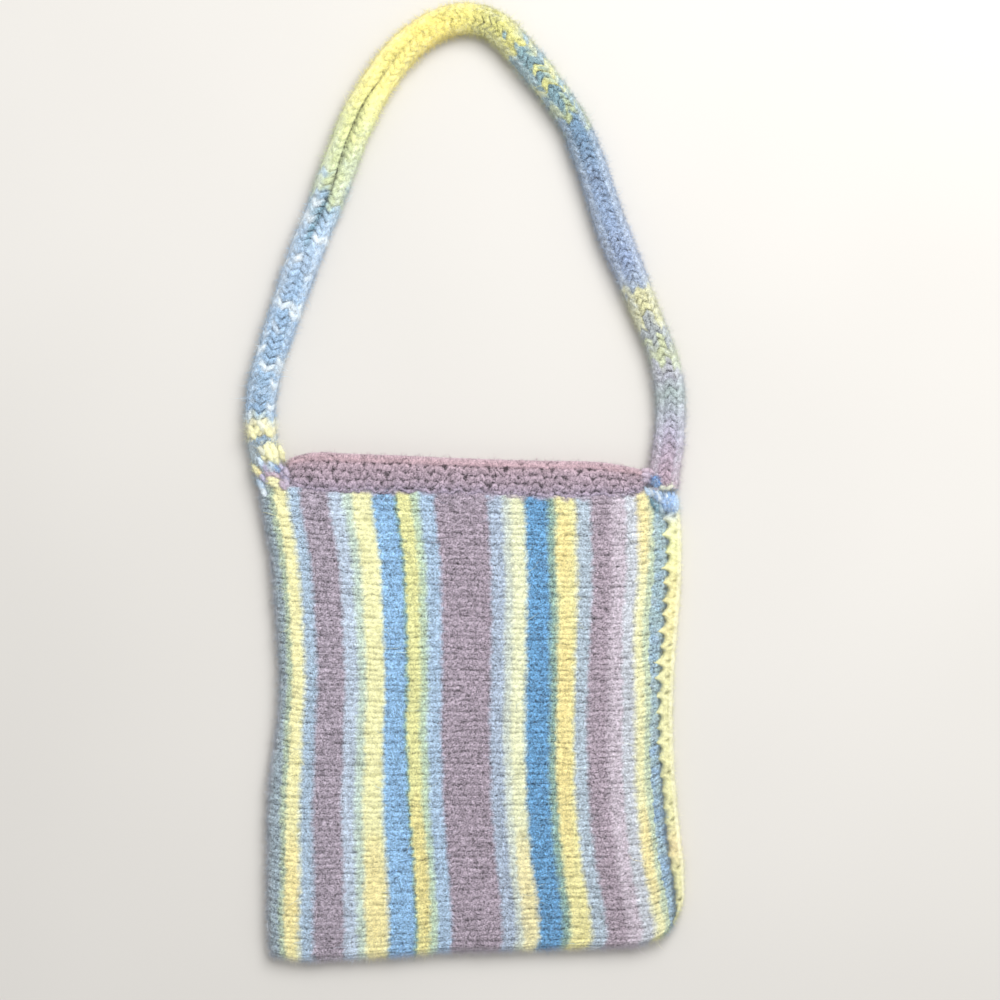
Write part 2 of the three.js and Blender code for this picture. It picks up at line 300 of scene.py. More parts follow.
class Wire:
    """A socket in a material's nodes."""

    def __init__(self, tree, socket=None):
        self.tree = tree
        self.socket = socket

    def node(self, kind, settings=None, sockets=None, output=0):
        """A new node of that type: first its settings, then a value or a link for each socket."""
        made = self.tree.nodes.new(kind)
        for name, value in (settings or {}).items():
            if name == "stops":
                lay_stops(made.color_ramp, value)
            else:
                setattr(made, name, value)
        for name, value in (sockets or {}).items():
            self.feed(made.inputs[name], value)
        return Wire(self.tree, made.outputs[output])

    def feed(self, socket, value):
        """Links a wire to a socket, or gives the socket a plain value."""
        if isinstance(value, Wire):
            self.tree.links.new(value.socket, socket)
        else:
            socket.default_value = value

    def kept(self, label):
        """A value that the mesh keeps on its points."""
        return self.node("ShaderNodeAttribute", {"attribute_name": label}, output="Fac")

    def noise(self, size, detail, twist):
        """Soft random values from about 0.3 to 0.7 over the piece, in lumps of that size in metres."""
        place = self.node("ShaderNodeTexCoord", output="Object")
        sockets = {"Vector": place, "Scale": 1 / size, "Detail": detail, "Distortion": twist}
        return self.node("ShaderNodeTexNoise", None, sockets)

    def sum(self, operation, first, second):
        """A Math node on two values."""
        return self.node("ShaderNodeMath", {"operation": operation}, {0: first, 1: second})

    def __add__(self, other):
        return self.sum("ADD", self, other)

    __radd__ = __add__

    def __sub__(self, other):
        return self.sum("SUBTRACT", self, other)

    def __rsub__(self, other):
        return self.sum("SUBTRACT", other, self)

    def __mul__(self, other):
        return self.sum("MULTIPLY", self, other)

    __rmul__ = __mul__

    def __abs__(self):
        return self.sum("ABSOLUTE", self, 0.0)

    def above(self, limit):
        """1 where this value is over a limit, and 0 elsewhere."""
        return self.sum("GREATER_THAN", self, limit)

    def mixed(self, other, share, way="MIX"):
        """This colour with another mixed into it."""
        settings = {"data_type": "RGBA", "blend_type": way}
        return self.node("ShaderNodeMix", settings, {0: share, 6: self, 7: other}, output=2)

    def ramp(self, chart):
        """The colours of a chart at this value. A row of it is a place with its red, green and blue."""
        stops = [(place, dyed(*colour)) for place, *colour in chart]
        return self.node("ShaderNodeValToRGB", {"stops": stops}, {0: self})


def dyed(red, green, blue):
    """A colour as the eye sees it, from 0 to 255, turned into light for the shader."""
    seen = np.array([red, green, blue]) / 255
    light = np.where(seen <= 0.04045, seen / 12.92, ((seen + 0.055) / 1.055) ** 2.4)
    return (*light.tolist(), 1.0)


print("Mid grey is", dyed(128, 128, 128)[0], "as light")

# %% [markdown]
# Felted wool is dull all over and pale at its edges, where loose fibres catch the light. A sheen on
# the shader gives that edge. Curls of fibre make fine bumps and lighter and darker spots, and thin dark
# curls of painted shade lie in the gaps between fibres. Slower noise gives the heathered look of dyed
# wool, and shade is painted into the grooves between stitches. Where stitches part, the shade in the slit
# is painted as a thin dark line. Lines finer than the mesh are worked out here, from values that the mesh
# keeps on its points.

# %% Felted wool
CURL_SIZE = 1.3 * MM
FIBRE_SIZE = 2.1 * MM
GAP_SIZE = 1.7 * MM
HEATHER_SIZE = 6 * MM
CURL_SHADE = 2.7
FIBRE_SHADE = 1.0
FIBRE_MEAN = 0.4
GAP_SHADE = 0.9
GAP_MEAN = 0.3
NOISE_MEAN = 0.5
PALE_CALM = 0.85
THREAD_HALF = 0.09
SLIT_CALM = 0.45
DARKEST = 0.12
HEATHER_SHADE = 0.3
STITCH_SHADE = 0.06
WOOL_ROUGHNESS = 0.95
WOOL_SHEEN = 0.6
WOOL_GLOSS = 0.1
FIBRE_BUMP = 0.7 * MM
BUMP_STRENGTH = 0.8


def thin_line(off_line, half):
    """1 on a line and 0 beside it, from the distance to the line and half its width."""
    return 1 - off_line.sum("MINIMUM", off_line * (1 / half), 1.0)


def off_whole(value):
    """How far a value is from the nearest whole number."""
    return value.sum("PINGPONG", value, 0.5)


def threads(cloud, half=THREAD_HALF):
    """Thin crooked lines where a noise passes its middle value."""
    return thin_line(abs(cloud - NOISE_MEAN), half)


def felted_wool(name, paint, groove, curly, slits=None):
    """A wool material: paint gives its colour, curls vary it, and painted shade darkens grooves and slits."""
    material = bpy.data.materials.new(name)
    material.use_nodes = True
    shader = material.node_tree.nodes["Principled BSDF"]
    start = Wire(material.node_tree)
    curls = start.noise(CURL_SIZE, 2.0, 1.2)
    heather = start.noise(HEATHER_SIZE, 2.0, 0.4)
    fibres = threads(start.noise(FIBRE_SIZE, 1.0, 1.5))
    # Thin dark curls of painted shade in the gaps between fibres
    gaps = threads(start.noise(GAP_SIZE, 1.0, 2.0))
    colour = paint(start)
    paleness = colour.node("ShaderNodeRGBToBW", None, {0: colour})
    calm = 1 - PALE_CALM * paleness
    grain = CURL_SHADE * (curls - NOISE_MEAN) + FIBRE_SHADE * (fibres - FIBRE_MEAN)
    grain = grain - GAP_SHADE * (gaps - GAP_MEAN)
    shade = 1 + curly * calm * grain + HEATHER_SHADE * (heather - NOISE_MEAN)
    # Painted shade darkens the grooves between stitches
    shade = shade + STITCH_SHADE * start.kept("tint") - groove * start.kept("crevice")
    # Painted shade: thin dark lines where stitches part
    if slits:
        shade = shade - (1 - SLIT_CALM * paleness) * slits(start)
    shade = shade.sum("MAXIMUM", shade, DARKEST)
    start.feed(shader.inputs["Base Color"], colour.mixed(shade, 1.0, "MULTIPLY"))
    relief = {"Strength": BUMP_STRENGTH, "Distance": FIBRE_BUMP, "Height": curls}
    start.feed(shader.inputs["Normal"], start.node("ShaderNodeBump", None, relief))
    shader.inputs["Roughness"].default_value = WOOL_ROUGHNESS
    shader.inputs["Sheen Weight"].default_value = WOOL_SHEEN
    shader.inputs["Specular IOR Level"].default_value = WOOL_GLOSS
    print(name, "has", len(material.node_tree.nodes), "nodes")
    return material


# %% [markdown]
# ## The strap
#
# The strap is a knitted tube about as thick as a thumb, in rounds of six stitches, knitted from its left
# end to its right. It could be a curve with a round bevel, but a bevel has no stitches, so rings of
# points are laid along the route and moved out and in by the stocking stitch. A ladder of slack stitches
# runs along the top of its left half. The tube is limp and lies flat on the floor along its underside.

# %% The strap's route and thickness
STRAP_ROUTE = [
    (-128.7, 2.8), (-130.7, 13.8), (-133.7, 27.8), (-134.9, 48.8), (-131.5, 69.8), (-123.7, 94.8),
    (-115.1, 120.8), (-104.3, 151.8), (-91.9, 181.8), (-80.3, 213.8), (-70.1, 238.8), (-57.3, 261.8),
    (-40.3, 283.2), (-19.7, 297.8), (-0.7, 302.2), (17.5, 297.6), (32.7, 283.4), (47.7, 266.2),
    (64.1, 243.8), (74.7, 222.8), (84.3, 195.8), (94.7, 164.4), (107.5, 133.8), (118.3, 106.8),
    (126.7, 85.8), (131.7, 64.8), (132.5, 43.8), (131.3, 23.8), (129.3, 10.8), (128.3, -0.2),
]
# share of the length, width, height and depth of the ladder, in millimetres
STRAP_SECTIONS = [
    (-0.01, 17.0, 11.6, 0.0), (0.0, 17.0, 11.6, 0.0), (0.05, 18.8, 14.0, 0.0), (0.16, 19.4, 15.6, 0.0),
    (0.22, 21.0, 15.6, 0.6), (0.3, 21.4, 15.6, 2.0), (0.4, 20.4, 16.0, 2.0), (0.47, 19.4, 16.6, 0.2),
    (0.54, 18.8, 16.6, 0.0), (0.64, 17.2, 16.2, 0.0), (0.75, 19.2, 16.4, 0.0), (0.86, 17.2, 15.4, 0.0),
    (0.95, 17.8, 14.0, 0.0), (1.0, 18.4, 11.4, 0.0), (1.01, 18.4, 11.4, 0.0),
]


def read_table(share, table):
    """The values of a table at a share of its first column, changing softly from row to row."""
    rows = np.asarray(table, float)
    after = np.clip(np.searchsorted(rows[:, 0], share, side="right"), 1, len(rows) - 1)
    start, end = rows[after - 1], rows[after]
    part = soft((share - start[..., 0]) / (end[..., 0] - start[..., 0]))
    return [blend(start[..., k], end[..., k], part) for k in range(1, rows.shape[1])]


strap_line = Route(np.array(STRAP_ROUTE) * MM)
print("The strap is", round(strap_line.length, 3), "m long")

# %% [markdown]
# Rounds are counted along the tube and wales around it. A hand pulls some stitches tighter than others,
# so both counts wander a little, and in the yellow stretch the tube is twisted by half a wale. Loose wool
# fills the grooves, most of all at the sides and in that stretch.

# %% The strap's stitches
STRAP_ROWS = 131
STRAP_WALES = 6
RINGS_A_ROW = 8
SIDES_A_WALE = 11
FIRST_ROW = 2
LEG_SLOPE = 1.5
STRAP_TUCK = 0.005
STRAP_SPAN = 694
STRAP_GIRTH = 60
FELT_FILL = 0.4
FELT_PATCH = 0.3
SIDE_FELT = 0.5
CALM_FELT = 0.2
FULLEST_FELT = 0.95
# where a stretch of the strap starts, how long its rise is, where it ends, and how long its fall is
CALM_STRETCH = (0.27, 0.04, 0.52, 0.04)


def felted(height, filling):
    """Stitch heights with their grooves filled up to a level with loose wool."""
    return np.maximum(height, filling)


rings = STRAP_ROWS * RINGS_A_ROW + 1
sides = STRAP_WALES * SIDES_A_WALE
strap_share, around = np.meshgrid(
    np.linspace(-STRAP_TUCK, 1 + STRAP_TUCK, rings), np.linspace(0, 1, sides, endpoint=False), indexing="ij"
)
angle = 2 * np.pi * around - np.pi / 2
strap_u, strap_v = strap_share * STRAP_SPAN, around * STRAP_GIRTH
strap_wander = 0.18 * lumps(strap_u, strap_v, 9.0, 5) + 0.1 * lumps(strap_u, strap_v, 5.0, 7)
half_wale = 0.5 * soft((0.2 - strap_share) / 0.07) + 0.5 * soft((strap_share - 0.45) / 0.15)
knit_rounds = strap_share * STRAP_ROWS + FIRST_ROW + strap_wander
knit_wales = around * STRAP_WALES + half_wale + 0.3 * strap_wander
knit, along_vs, strap_place, strap_leg = chevron_stitch(knit_rounds, knit_wales, LEG_SLOPE)
calm_stretch = window(strap_share, *CALM_STRETCH)
loose_wool = FELT_FILL + FELT_PATCH * (lumps(strap_u, strap_v, 3.5, 1) + lumps(strap_u, strap_v, 12.0, 8))
loose_wool = loose_wool + SIDE_FELT * np.cos(angle) ** 2 + CALM_FELT * calm_stretch
loose_wool = np.minimum(loose_wool, FULLEST_FELT)
strap_knit = felted(knit, loose_wool)
print("The tube has", STRAP_WALES, "wales and", STRAP_ROWS, "rounds")

# %% [markdown]
# A ring is an oval that lies on the floor, wider than it is high and flat below. The stitches move its
# points along the oval's own normals. Each ring stands square to the route, and both ends run on a little
# way into the corners that they are sewn to.

# %% The strap's rings of points
STRAP_RELIEF = 1.6
STRAP_CREST = 0.8
STRAP_LUMP = 0.5
FLOOR_FLATTENING = 1.6
LADDER_HALF = 0.2

wide, high, ladder = read_table(strap_share, STRAP_SECTIONS)
slack = ladder * bell(angle - np.pi / 2, LADDER_HALF)
proud = STRAP_RELIEF * (strap_knit - STRAP_CREST) + STRAP_LUMP * lumps(strap_u, strap_v, 25.0, 2) - slack
tilt_aside = np.cos(angle) / wide
tilt_up = np.sin(angle) / high
tilt = np.hypot(tilt_aside, tilt_up)
below = np.where(np.sin(angle) < 0, FLOOR_FLATTENING, 0)
aside = wide / 2 * np.cos(angle) + proud * tilt_aside / tilt
up = np.maximum(high / 2 + (high / 2 + below) * np.sin(angle) + proud * tilt_up / tilt, 0)
kept_share = np.clip(strap_share[:, 0], 0, 1)
ahead = strap_line.heading(kept_share)
beyond = (strap_share[:, 0] - kept_share)[:, None] * strap_line.length
middle = strap_line.at(kept_share) + ahead * beyond
rightward = np.stack([ahead[:, 1], -ahead[:, 0]], axis=-1)
strap_plan = middle[:, None, :] + rightward[:, None, :] * aside[..., None] * MM
strap_points = raised(strap_plan, up)
print("The tube is", round(np.ptp(up), 1), "mm high where it is highest")

# %% [markdown]
# The yarn changes its dye slowly, and each end of the strap has its own order of colours. Where two
# colours meet, single stitches jump ahead or stay behind, so the border is flecked. Spells of pale stitches
# come and go in the blue, a streak of teal runs into the yellow, and the felted sides have a painted
# highlight, paler than the top, for the light that their loose fibres catch.

# %% The strap's colours
# share of the length with red, green and blue, up to the middle and on from there
LEFT_STRAP = [
    (0.000, 200, 188, 200), (0.008, 176, 184, 208), (0.013, 244, 240, 194), (0.029, 246, 243, 196),
    (0.032, 140, 170, 200), (0.035, 140, 170, 200), (0.038, 244, 238, 196), (0.048, 245, 241, 204),
    (0.053, 172, 197, 212), (0.058, 154, 184, 213), (0.085, 161, 190, 217), (0.110, 164, 194, 222),
    (0.150, 160, 190, 220), (0.175, 162, 191, 220), (0.210, 182, 205, 229), (0.245, 170, 197, 222),
    (0.274, 170, 197, 212), (0.286, 208, 219, 180), (0.320, 220, 229, 174), (0.355, 236, 238, 168),
    (0.390, 254, 245, 158), (0.425, 252, 239, 145), (0.450, 247, 230, 133), (0.475, 241, 227, 133),
    (0.500, 229, 219, 131),
]
RIGHT_STRAP = [
    (0.500, 229, 219, 131), (0.515, 207, 204, 131), (0.535, 209, 206, 126), (0.556, 216, 213, 139),
    (0.567, 134, 164, 174), (0.590, 137, 167, 172), (0.599, 222, 219, 144), (0.607, 206, 210, 146),
    (0.614, 125, 157, 168), (0.630, 128, 158, 168), (0.638, 196, 204, 146), (0.647, 122, 152, 178),
    (0.665, 126, 154, 182), (0.700, 142, 163, 192), (0.745, 143, 162, 191), (0.760, 156, 173, 202),
    (0.785, 147, 164, 195), (0.809, 170, 182, 196), (0.816, 206, 204, 164), (0.838, 218, 216, 168),
    (0.848, 174, 180, 182), (0.862, 174, 181, 184), (0.870, 206, 212, 172), (0.884, 196, 204, 176),
    (0.892, 179, 179, 193), (0.915, 171, 185, 184), (0.935, 176, 181, 193), (0.953, 191, 184, 204),
    (0.975, 190, 172, 188), (1.000, 188, 164, 178),
]
# share of the length, and how many of the stitches there are pale
PALE_SPELLS = [
    (0.054, 0.0), (0.066, 0.5), (0.074, 0.0), (0.086, 0.1), (0.102, 1.0), (0.116, 0.2), (0.127, 1.0),
    (0.140, 0.1), (0.162, 0.8), (0.180, 0.0), (0.202, 0.9), (0.218, 0.3), (0.240, 0.8), (0.262, 0.5),
    (0.290, 0.0),
]
PALE_WOOL = dyed(234, 243, 248)
TEAL_STREAK = dyed(112, 150, 166)
print("The strap's dye has", len(LEFT_STRAP) + len(RIGHT_STRAP) - 1, "stops")

# %% [markdown]
# A material sees one point at a time and knows nothing of stitches. So what belongs to a whole stitch is
# worked out here, on the points, from the stitch's own number: how far its dye runs ahead, and how pale it
# is. A little blur softens the border between neighbours.

# %% Flecks and pale stitches
FLECK_REACH = 0.012
STITCH_HOLD = 0.9
SIDE_HIGHLIGHT = 0.3
PALE_DELAY = 0.015
BLUE_END = 0.034
BLUE_PLACE = 0.036
WHOLE_FLECK = 1.5
LEG_FLECK = 0.8
# stretches of the strap, each with its start, its rise, its end and its fall
FLECKED_STRETCH = (0.04, 0.1, 0.42, 0.1)
STREAKED_STRETCH = (0.215, 0.025, 0.285, 0.02)
YELLOW_STRETCH = (0.3, 0.08, 0.56, 0.06)


def stitch_dice(place, leg, seed):
    """A random value from -1 to 1 for every leg of every stitch."""
    dice = np.random.default_rng(seed).uniform(-1, 1, (512, 128))
    return dice[np.mod(np.floor(place).astype(int), 512), np.mod(leg.astype(int), 128)]


def blurred(values):
    """Values of a closed grid, each mixed with the values beside it."""
    for axis in (0, 1):
        values = (np.roll(values, 1, axis) + 2 * values + np.roll(values, -1, axis)) / 4
    return values


stitch_u = strap_place / STRAP_ROWS * STRAP_SPAN
fleck = WHOLE_FLECK * lumps(stitch_u, strap_leg // 2 * 10, 8.0, 4)
fleck = fleck + LEG_FLECK * lumps(stitch_u, strap_leg * 5, 6.0, 44)
top_flecks = bump_of(strap_share, 0, (0.59, 0), (0.07, 1))
right_flecks = bump_of(strap_share, 0, (0.85, 0), (0.055, 1))
fleck_part = 0.25 + window(strap_share, *FLECKED_STRETCH) + 1.3 * top_flecks + 0.7 * right_flecks
strap_row = blend(strap_share * STRAP_ROWS, strap_place - FIRST_ROW, STITCH_HOLD)
strap_row = strap_row + 0.3 * lumps(strap_u, strap_v, 2.2, 9)
strap_colour = blurred(strap_row / STRAP_ROWS + FLECK_REACH * fleck * fleck_part)
blue_side = (strap_share < BLUE_END) & (np.cos(angle) < -0.25)
strap_colour = np.where(blue_side, BLUE_PLACE, strap_colour)
on_side = soft((np.abs(np.cos(angle)) - 0.3) / 0.4)
off_groove = angle - np.pi / 2 - 0.12 * lumps(strap_u, 0 * strap_u, 28.0, 12)
streak = bell(off_groove - 0.1, 0.2) * window(strap_share, *STREAKED_STRETCH)
highlight_strength = 1 - 0.7 * window(strap_share, *YELLOW_STRETCH)
pale_window = read_table(np.clip(strap_place / STRAP_ROWS - PALE_DELAY, 0, 1), PALE_SPELLS)[0]
pale_v = stitch_dice(strap_place, strap_leg // 2, 6) + 0.3 * stitch_dice(strap_place, strap_leg, 16)
pale_and_side_lit = blurred(soft((pale_v + 0.75 * pale_window - 0.55) / 0.2)) * soft(5 * pale_window)
# Painted highlight at the sides, where loose fibres catch the light, weaker in the yellow
pale_and_side_lit = pale_and_side_lit * (1 - 0.3 * on_side) * (1 - 0.8 * streak) + SIDE_HIGHLIGHT * on_side * highlight_strength
print("Pale wool covers", round(100 * pale_and_side_lit.mean()), "% of the strap")

# %% [markdown]
# A V of the strap is two legs that lie close together, so thin dark lines of painted shade along the legs
# draw the Vs. The felt closes the lines at the sides. In the yellow stretch one line of painted shade stays
# open along the ladder.

# %% The strap's wool
MOTTLE_SIZE = 3.4 * MM
SLIT_BEND = 2.5 * MM
SLIT_BREAK = 3.5 * MM
LEG_SLIT = 0.85
LEG_SLIT_HALF = 0.17
LADDER_LINE_HALF = 0.09
LADDER_STRETCH = (0.26, 0.03, 0.44, 0.07)
# what the two points in the middle of the ends keep, where it isn't 0
END_VALUES = {"along": [0, 1], "crevice": [1, 1], "off_groove": [1, 1]}


def pastel(start):
    """The strap's colours at the kept place, with pale stitches and a painted highlight at the sides."""
    along = start.kept("along")
    yarn = along.ramp(LEFT_STRAP).mixed(along.ramp(RIGHT_STRAP), along.above(0.5))
    mottle = start.noise(MOTTLE_SIZE, 2.0, 1.0) - 0.55
    yarn = yarn.mixed(TEAL_STREAK, 0.8 * start.kept("streak"))
    # The pale value holds both the pale stitches and the painted highlight at the sides
    return yarn.mixed(PALE_WOOL, 0.85 * start.kept("pale") + 2.2 * start.kept("mottled") * mottle)


def strap_slit_shade(start):
    """Painted shade: thin dark lines on the Vs' legs where the felt leaves them open, and on the ladder."""
    crooked = start.kept("along_vs") + 0.5 * (start.noise(SLIT_BEND, 1.0, 0.0) - NOISE_MEAN)
    broken = start.node("ShaderNodeClamp", None, {0: 4 * start.noise(SLIT_BREAK, 1.0, 0.0) - 1.5})
    between_legs = LEG_SLIT * start.kept("open") * broken * thin_line(off_whole(crooked), LEG_SLIT_HALF)
    off_ladder = thin_line(abs(start.kept("off_groove")), LADDER_LINE_HALF)
    ladder_line = (0.6 + 0.5 * broken) * start.kept("groove") * off_ladder
    return start.sum("MAXIMUM", between_legs, ladder_line)


strap_values = {
    "along": strap_colour,
    "tint": stitch_dice(strap_place, strap_leg, 3),
    # Painted shade in the grooves between the legs, and deeper in the slack ladder
    "crevice": 1 - strap_knit + 0.2 * slack,
    "pale": pale_and_side_lit,
    "mottled": 0.3 + 0.2 * soft(4 * pale_window),
    "along_vs": along_vs,
    "open": np.clip(1.15 - loose_wool, 0, 1) * (1 - on_side) * (1 - 0.5 * calm_stretch),
    "off_groove": off_groove,
    "groove": window(strap_share, *LADDER_STRETCH),
    "streak": streak,
}
shown = {label: np.append(value, END_VALUES.get(label, [0, 0])) for label, value in strap_values.items()}
end_points = [strap_points[k].mean(axis=0) for k in (0, -1)]
everything = np.vstack([strap_points.reshape(-1, 3), end_points])
strap_faces = tube_faces(rings, sides)
strap_wool = felted_wool("pastel_wool", pastel, groove=0.5, curly=0.85, slits=strap_slit_shade)
strap = add_piece("knitted_strap", everything, strap_faces, "pastel_cord", strap_wool, "strap", **shown)
strap_path = np.column_stack([middle, high[:, 0] / 2 * MM])

# %% [markdown]
# ## The pouch
#
# The pouch is one striped knit, folded along its left edge and sewn up along its right edge, so it lies
# as two layers with a rounded turn at the fold, the hem and the seam. A cloth simulation could lay it
# down, but it lies nearly flat here, so the layers are worked out directly: the plan is a patch
# between the four measured edges, the thickness is the solid's, and both layers keep the length of
# their cloth round the turns. Front and back are separate meshes that meet along the edges.

# %% The four edges of the pouch
FOLD_EDGE = [
    (-127.3, -308.2), (-129.7, -290.2), (-130.1, -239.2), (-128.9, -195.2), (-123.3, -154.2),
    (-121.9, -127.2), (-124.7, -87.2), (-127.7, -50.2), (-131.9, -27.2), (-134.9, -11.2), (-135.3, 0.8),
]
SEAM_EDGE = [
    (128.3, -293.8), (133.9, -286.8), (135.9, -276.2), (134.7, -261.2), (130.7, -232.2), (127.1, -193.2),
    (125.7, -151.2), (126.9, -117.2), (129.9, -79.2), (131.3, -49.2), (130.5, -21.2), (128.1, -2.2),
]
HEM_EDGE = [
    (-127.3, -308.2), (-108.3, -311.8), (-82.3, -310.6), (-44.3, -308.8), (-16.3, -306.2), (21.7, -305.0),
    (61.7, -303.8), (103.7, -302.4), (120.1, -299.0), (128.3, -293.8),
]
MOUTH_EDGE = [
    (-135.3, 0.8), (-117.3, -0.8), (-82.3, -3.8), (-43.3, -4.4), (-4.3, -5.7), (34.7, -7.2), (86.7, -7.6),
    (112.7, -4.6), (128.1, -2.2),
]
fold_line, seam_line, hem_line, mouth_line = (
    Route(np.array(edge) * MM) for edge in (FOLD_EDGE, SEAM_EDGE, HEM_EDGE, MOUTH_EDGE)
)


def pouch_plan(across, up):
    """The plan of the lying cloth: a patch between its four edges."""
    a = across[..., None]
    u = up[..., None]
    sides_part = blend(fold_line.at(up), seam_line.at(up), a)
    ends_part = blend(hem_line.at(across), mouth_line.at(across), u)
    low = blend(hem_line.at(0), hem_line.at(1), a)
    high_part = blend(mouth_line.at(0), mouth_line.at(1), a)
    return sides_part + ends_part - blend(low, high_part, u)


print("The mouth is", round(mouth_line.length / MM), "mm wide")
print("The fold is", round(fold_line.length / MM), "mm high")

# %% [markdown]
# The cloth is longer than its plan, because it turns round the fold, the seam and the hem. A quarter of
# an oval gives each turn, and the rest lies flat. The upper layer sags a little here and there.

# %% The lying cloth
POUCH_WIDTH = 262.0
POUCH_HEIGHT = 302.0
TURN_PLAN = 6.0
TURN_CLOTH = 11.0
FOLD_HEIGHT = 4.6
CROWN = 13.8
EDGE_CROWN = 11.0
EDGE_POWER = 8
HEM_RISE = 0.12
SLACK_HEIGHT = 0.5
CLOTH_WIDTH = POUCH_WIDTH + 2 * (TURN_CLOTH - TURN_PLAN)
CLOTH_LENGTH = POUCH_HEIGHT + TURN_CLOTH - TURN_PLAN


def turned_over(cloth):
    """How far inside a turned edge some length of cloth reaches in plan, and the share that it has risen."""
    turn = np.clip(cloth / TURN_CLOTH, 0, 1) * np.pi / 2
    return TURN_PLAN * (1 - np.cos(turn)) + np.maximum(cloth - TURN_CLOTH, 0), np.sin(turn)


def plan_shares(cloth_across, cloth_up):
    """Shares of the plan, and the risen share, for shares of the cloth from the fold and from the hem."""
    from_fold, fold_rise = turned_over(cloth_across * CLOTH_WIDTH)
    from_seam, seam_rise = turned_over((1 - cloth_across) * CLOTH_WIDTH)
    from_hem, hem_rise = turned_over(cloth_up * CLOTH_LENGTH)
    across = np.where(cloth_across < 0.5, from_fold / POUCH_WIDTH, 1 - from_seam / POUCH_WIDTH)
    return across, from_hem / POUCH_HEIGHT, fold_rise * seam_rise * hem_rise


def pouch_thickness(across, up):
    """Height of the upper layer over the floor, in millimetres: full in the middle, slack and uneven."""
    full = (1 - np.abs(2 * across - 1) ** EDGE_POWER) * soft(up / HEM_RISE)
    slack_wave = np.sin(2 * np.pi * (1.4 * across + 0.3 * up)) * np.sin(2 * np.pi * (1.7 * up - 0.1))
    return blend(EDGE_CROWN, CROWN, full) + SLACK_HEIGHT * slack_wave * full


def lying(cloth_across, cloth_up, upper):
    """Points of the upper or the lower layer for shares of the cloth."""
    across, up_share, risen = plan_shares(cloth_across, cloth_up)
    if upper:
        level = blend(FOLD_HEIGHT, pouch_thickness(across, up_share), risen)
    else:
        level = FOLD_HEIGHT * (1 - risen)
    return raised(pouch_plan(across, up_share), level)


print("Each layer of the pouch has", round(CLOTH_WIDTH), "by", round(CLOTH_LENGTH), "mm of cloth")

# %% [markdown]
# The stripes run up the front because the pouch was knitted sideways, so one row of stitches is one
# line up the bag. They are not quite straight: the cloth was pulled here and there while it was
# wet. The chart gives each stripe's edges at half height, and a short table says how far the stripes
# stray to the right at other heights. The dye changes slowly along the yarn, so borders are soft.

# %% The stripes
# share of the front's width where a stripe starts and where it ends, with red, green and blue
LEFT_STRIPES = [
    (0.000, 0.026, 162, 178, 188), (0.026, 0.040, 184, 200, 176), (0.040, 0.068, 248, 243, 186),
    (0.074, 0.101, 178, 199, 219), (0.103, 0.171, 172, 161, 174), (0.174, 0.203, 196, 210, 227),
    (0.207, 0.225, 203, 220, 206), (0.229, 0.273, 244, 242, 188), (0.276, 0.331, 150, 191, 228),
    (0.327, 0.338, 138, 172, 168), (0.334, 0.367, 230, 229, 164), (0.371, 0.386, 196, 216, 190),
    (0.390, 0.424, 175, 199, 223), (0.426, 0.500, 171, 158, 171),
]
RIGHT_STRIPES = [
    (0.500, 0.553, 171, 158, 171), (0.555, 0.588, 178, 192, 211), (0.592, 0.608, 214, 222, 210),
    (0.611, 0.643, 238, 240, 202), (0.646, 0.699, 110, 162, 205), (0.702, 0.718, 150, 180, 168),
    (0.722, 0.768, 240, 233, 170), (0.773, 0.806, 186, 201, 214), (0.809, 0.856, 175, 161, 173),
    (0.866, 0.895, 205, 194, 205), (0.897, 0.925, 206, 211, 219), (0.931, 0.952, 240, 237, 188),
    (0.953, 0.970, 202, 216, 190), (0.970, 1.000, 165, 189, 194),
]
STRAYING_PLACES = [0.05, 0.17, 0.25, 0.35, 0.63, 0.72, 0.80, 0.94]
# height as a share, and the straying to the right at those places across the front
STRAYING = [
    (0.00, 0.000, 0.013, 0.013, 0.030, 0.020, 0.022, 0.026, 0.028),
    (0.10, 0.003, 0.018, 0.012, 0.031, 0.012, 0.017, 0.012, 0.005),
    (0.19, 0.008, 0.020, 0.013, 0.031, 0.008, 0.013, 0.004, 0.000),
    (0.37, 0.007, 0.014, 0.012, 0.020, 0.005, 0.010, 0.000, 0.000),
    (0.52, -0.008, 0.000, 0.001, 0.000, -0.004, 0.008, -0.005, 0.003),
    (0.72, -0.002, 0.001, 0.001, 0.001, -0.004, 0.001, -0.004, -0.014),
    (0.85, -0.002, 0.000, 0.001, 0.002, -0.003, -0.005, -0.002, -0.007),
    (1.00, -0.003, 0.000, 0.002, 0.004, 0.008, 0.008, 0.005, 0.000),
]
STRIPE_EDGE = 0.005


def stripe_stops(stripes):
    """Two rows of a colour chart for each stripe, a little inside its edges."""
    return [
        (place, *colour)
        for start, end, *colour in stripes
        for place in (start + STRIPE_EDGE, end - STRIPE_EDGE)
    ]


def in_chart(across, up_share):
    """Where a place on the front lies in the chart of the stripes."""
    columns = read_table(up_share, STRAYING)
    stray = np.zeros_like(across)
    for column, peak in zip(columns, np.eye(len(columns))):
        stray = stray + column * np.interp(across, STRAYING_PLACES, peak)
    return across - stray


print(len(LEFT_STRIPES) + len(RIGHT_STRIPES) - 1, "stripes cross the front")

# %% [markdown]
# Here and there the dye made a golden patch in the yellow. The column beside the seam is a blotchy denim
# blue, bluer low down. The mauve of the band comes a little way down into the stripes, and a pale fringe of
# painted light runs along the fold and the hem, where loose wool catches the light.

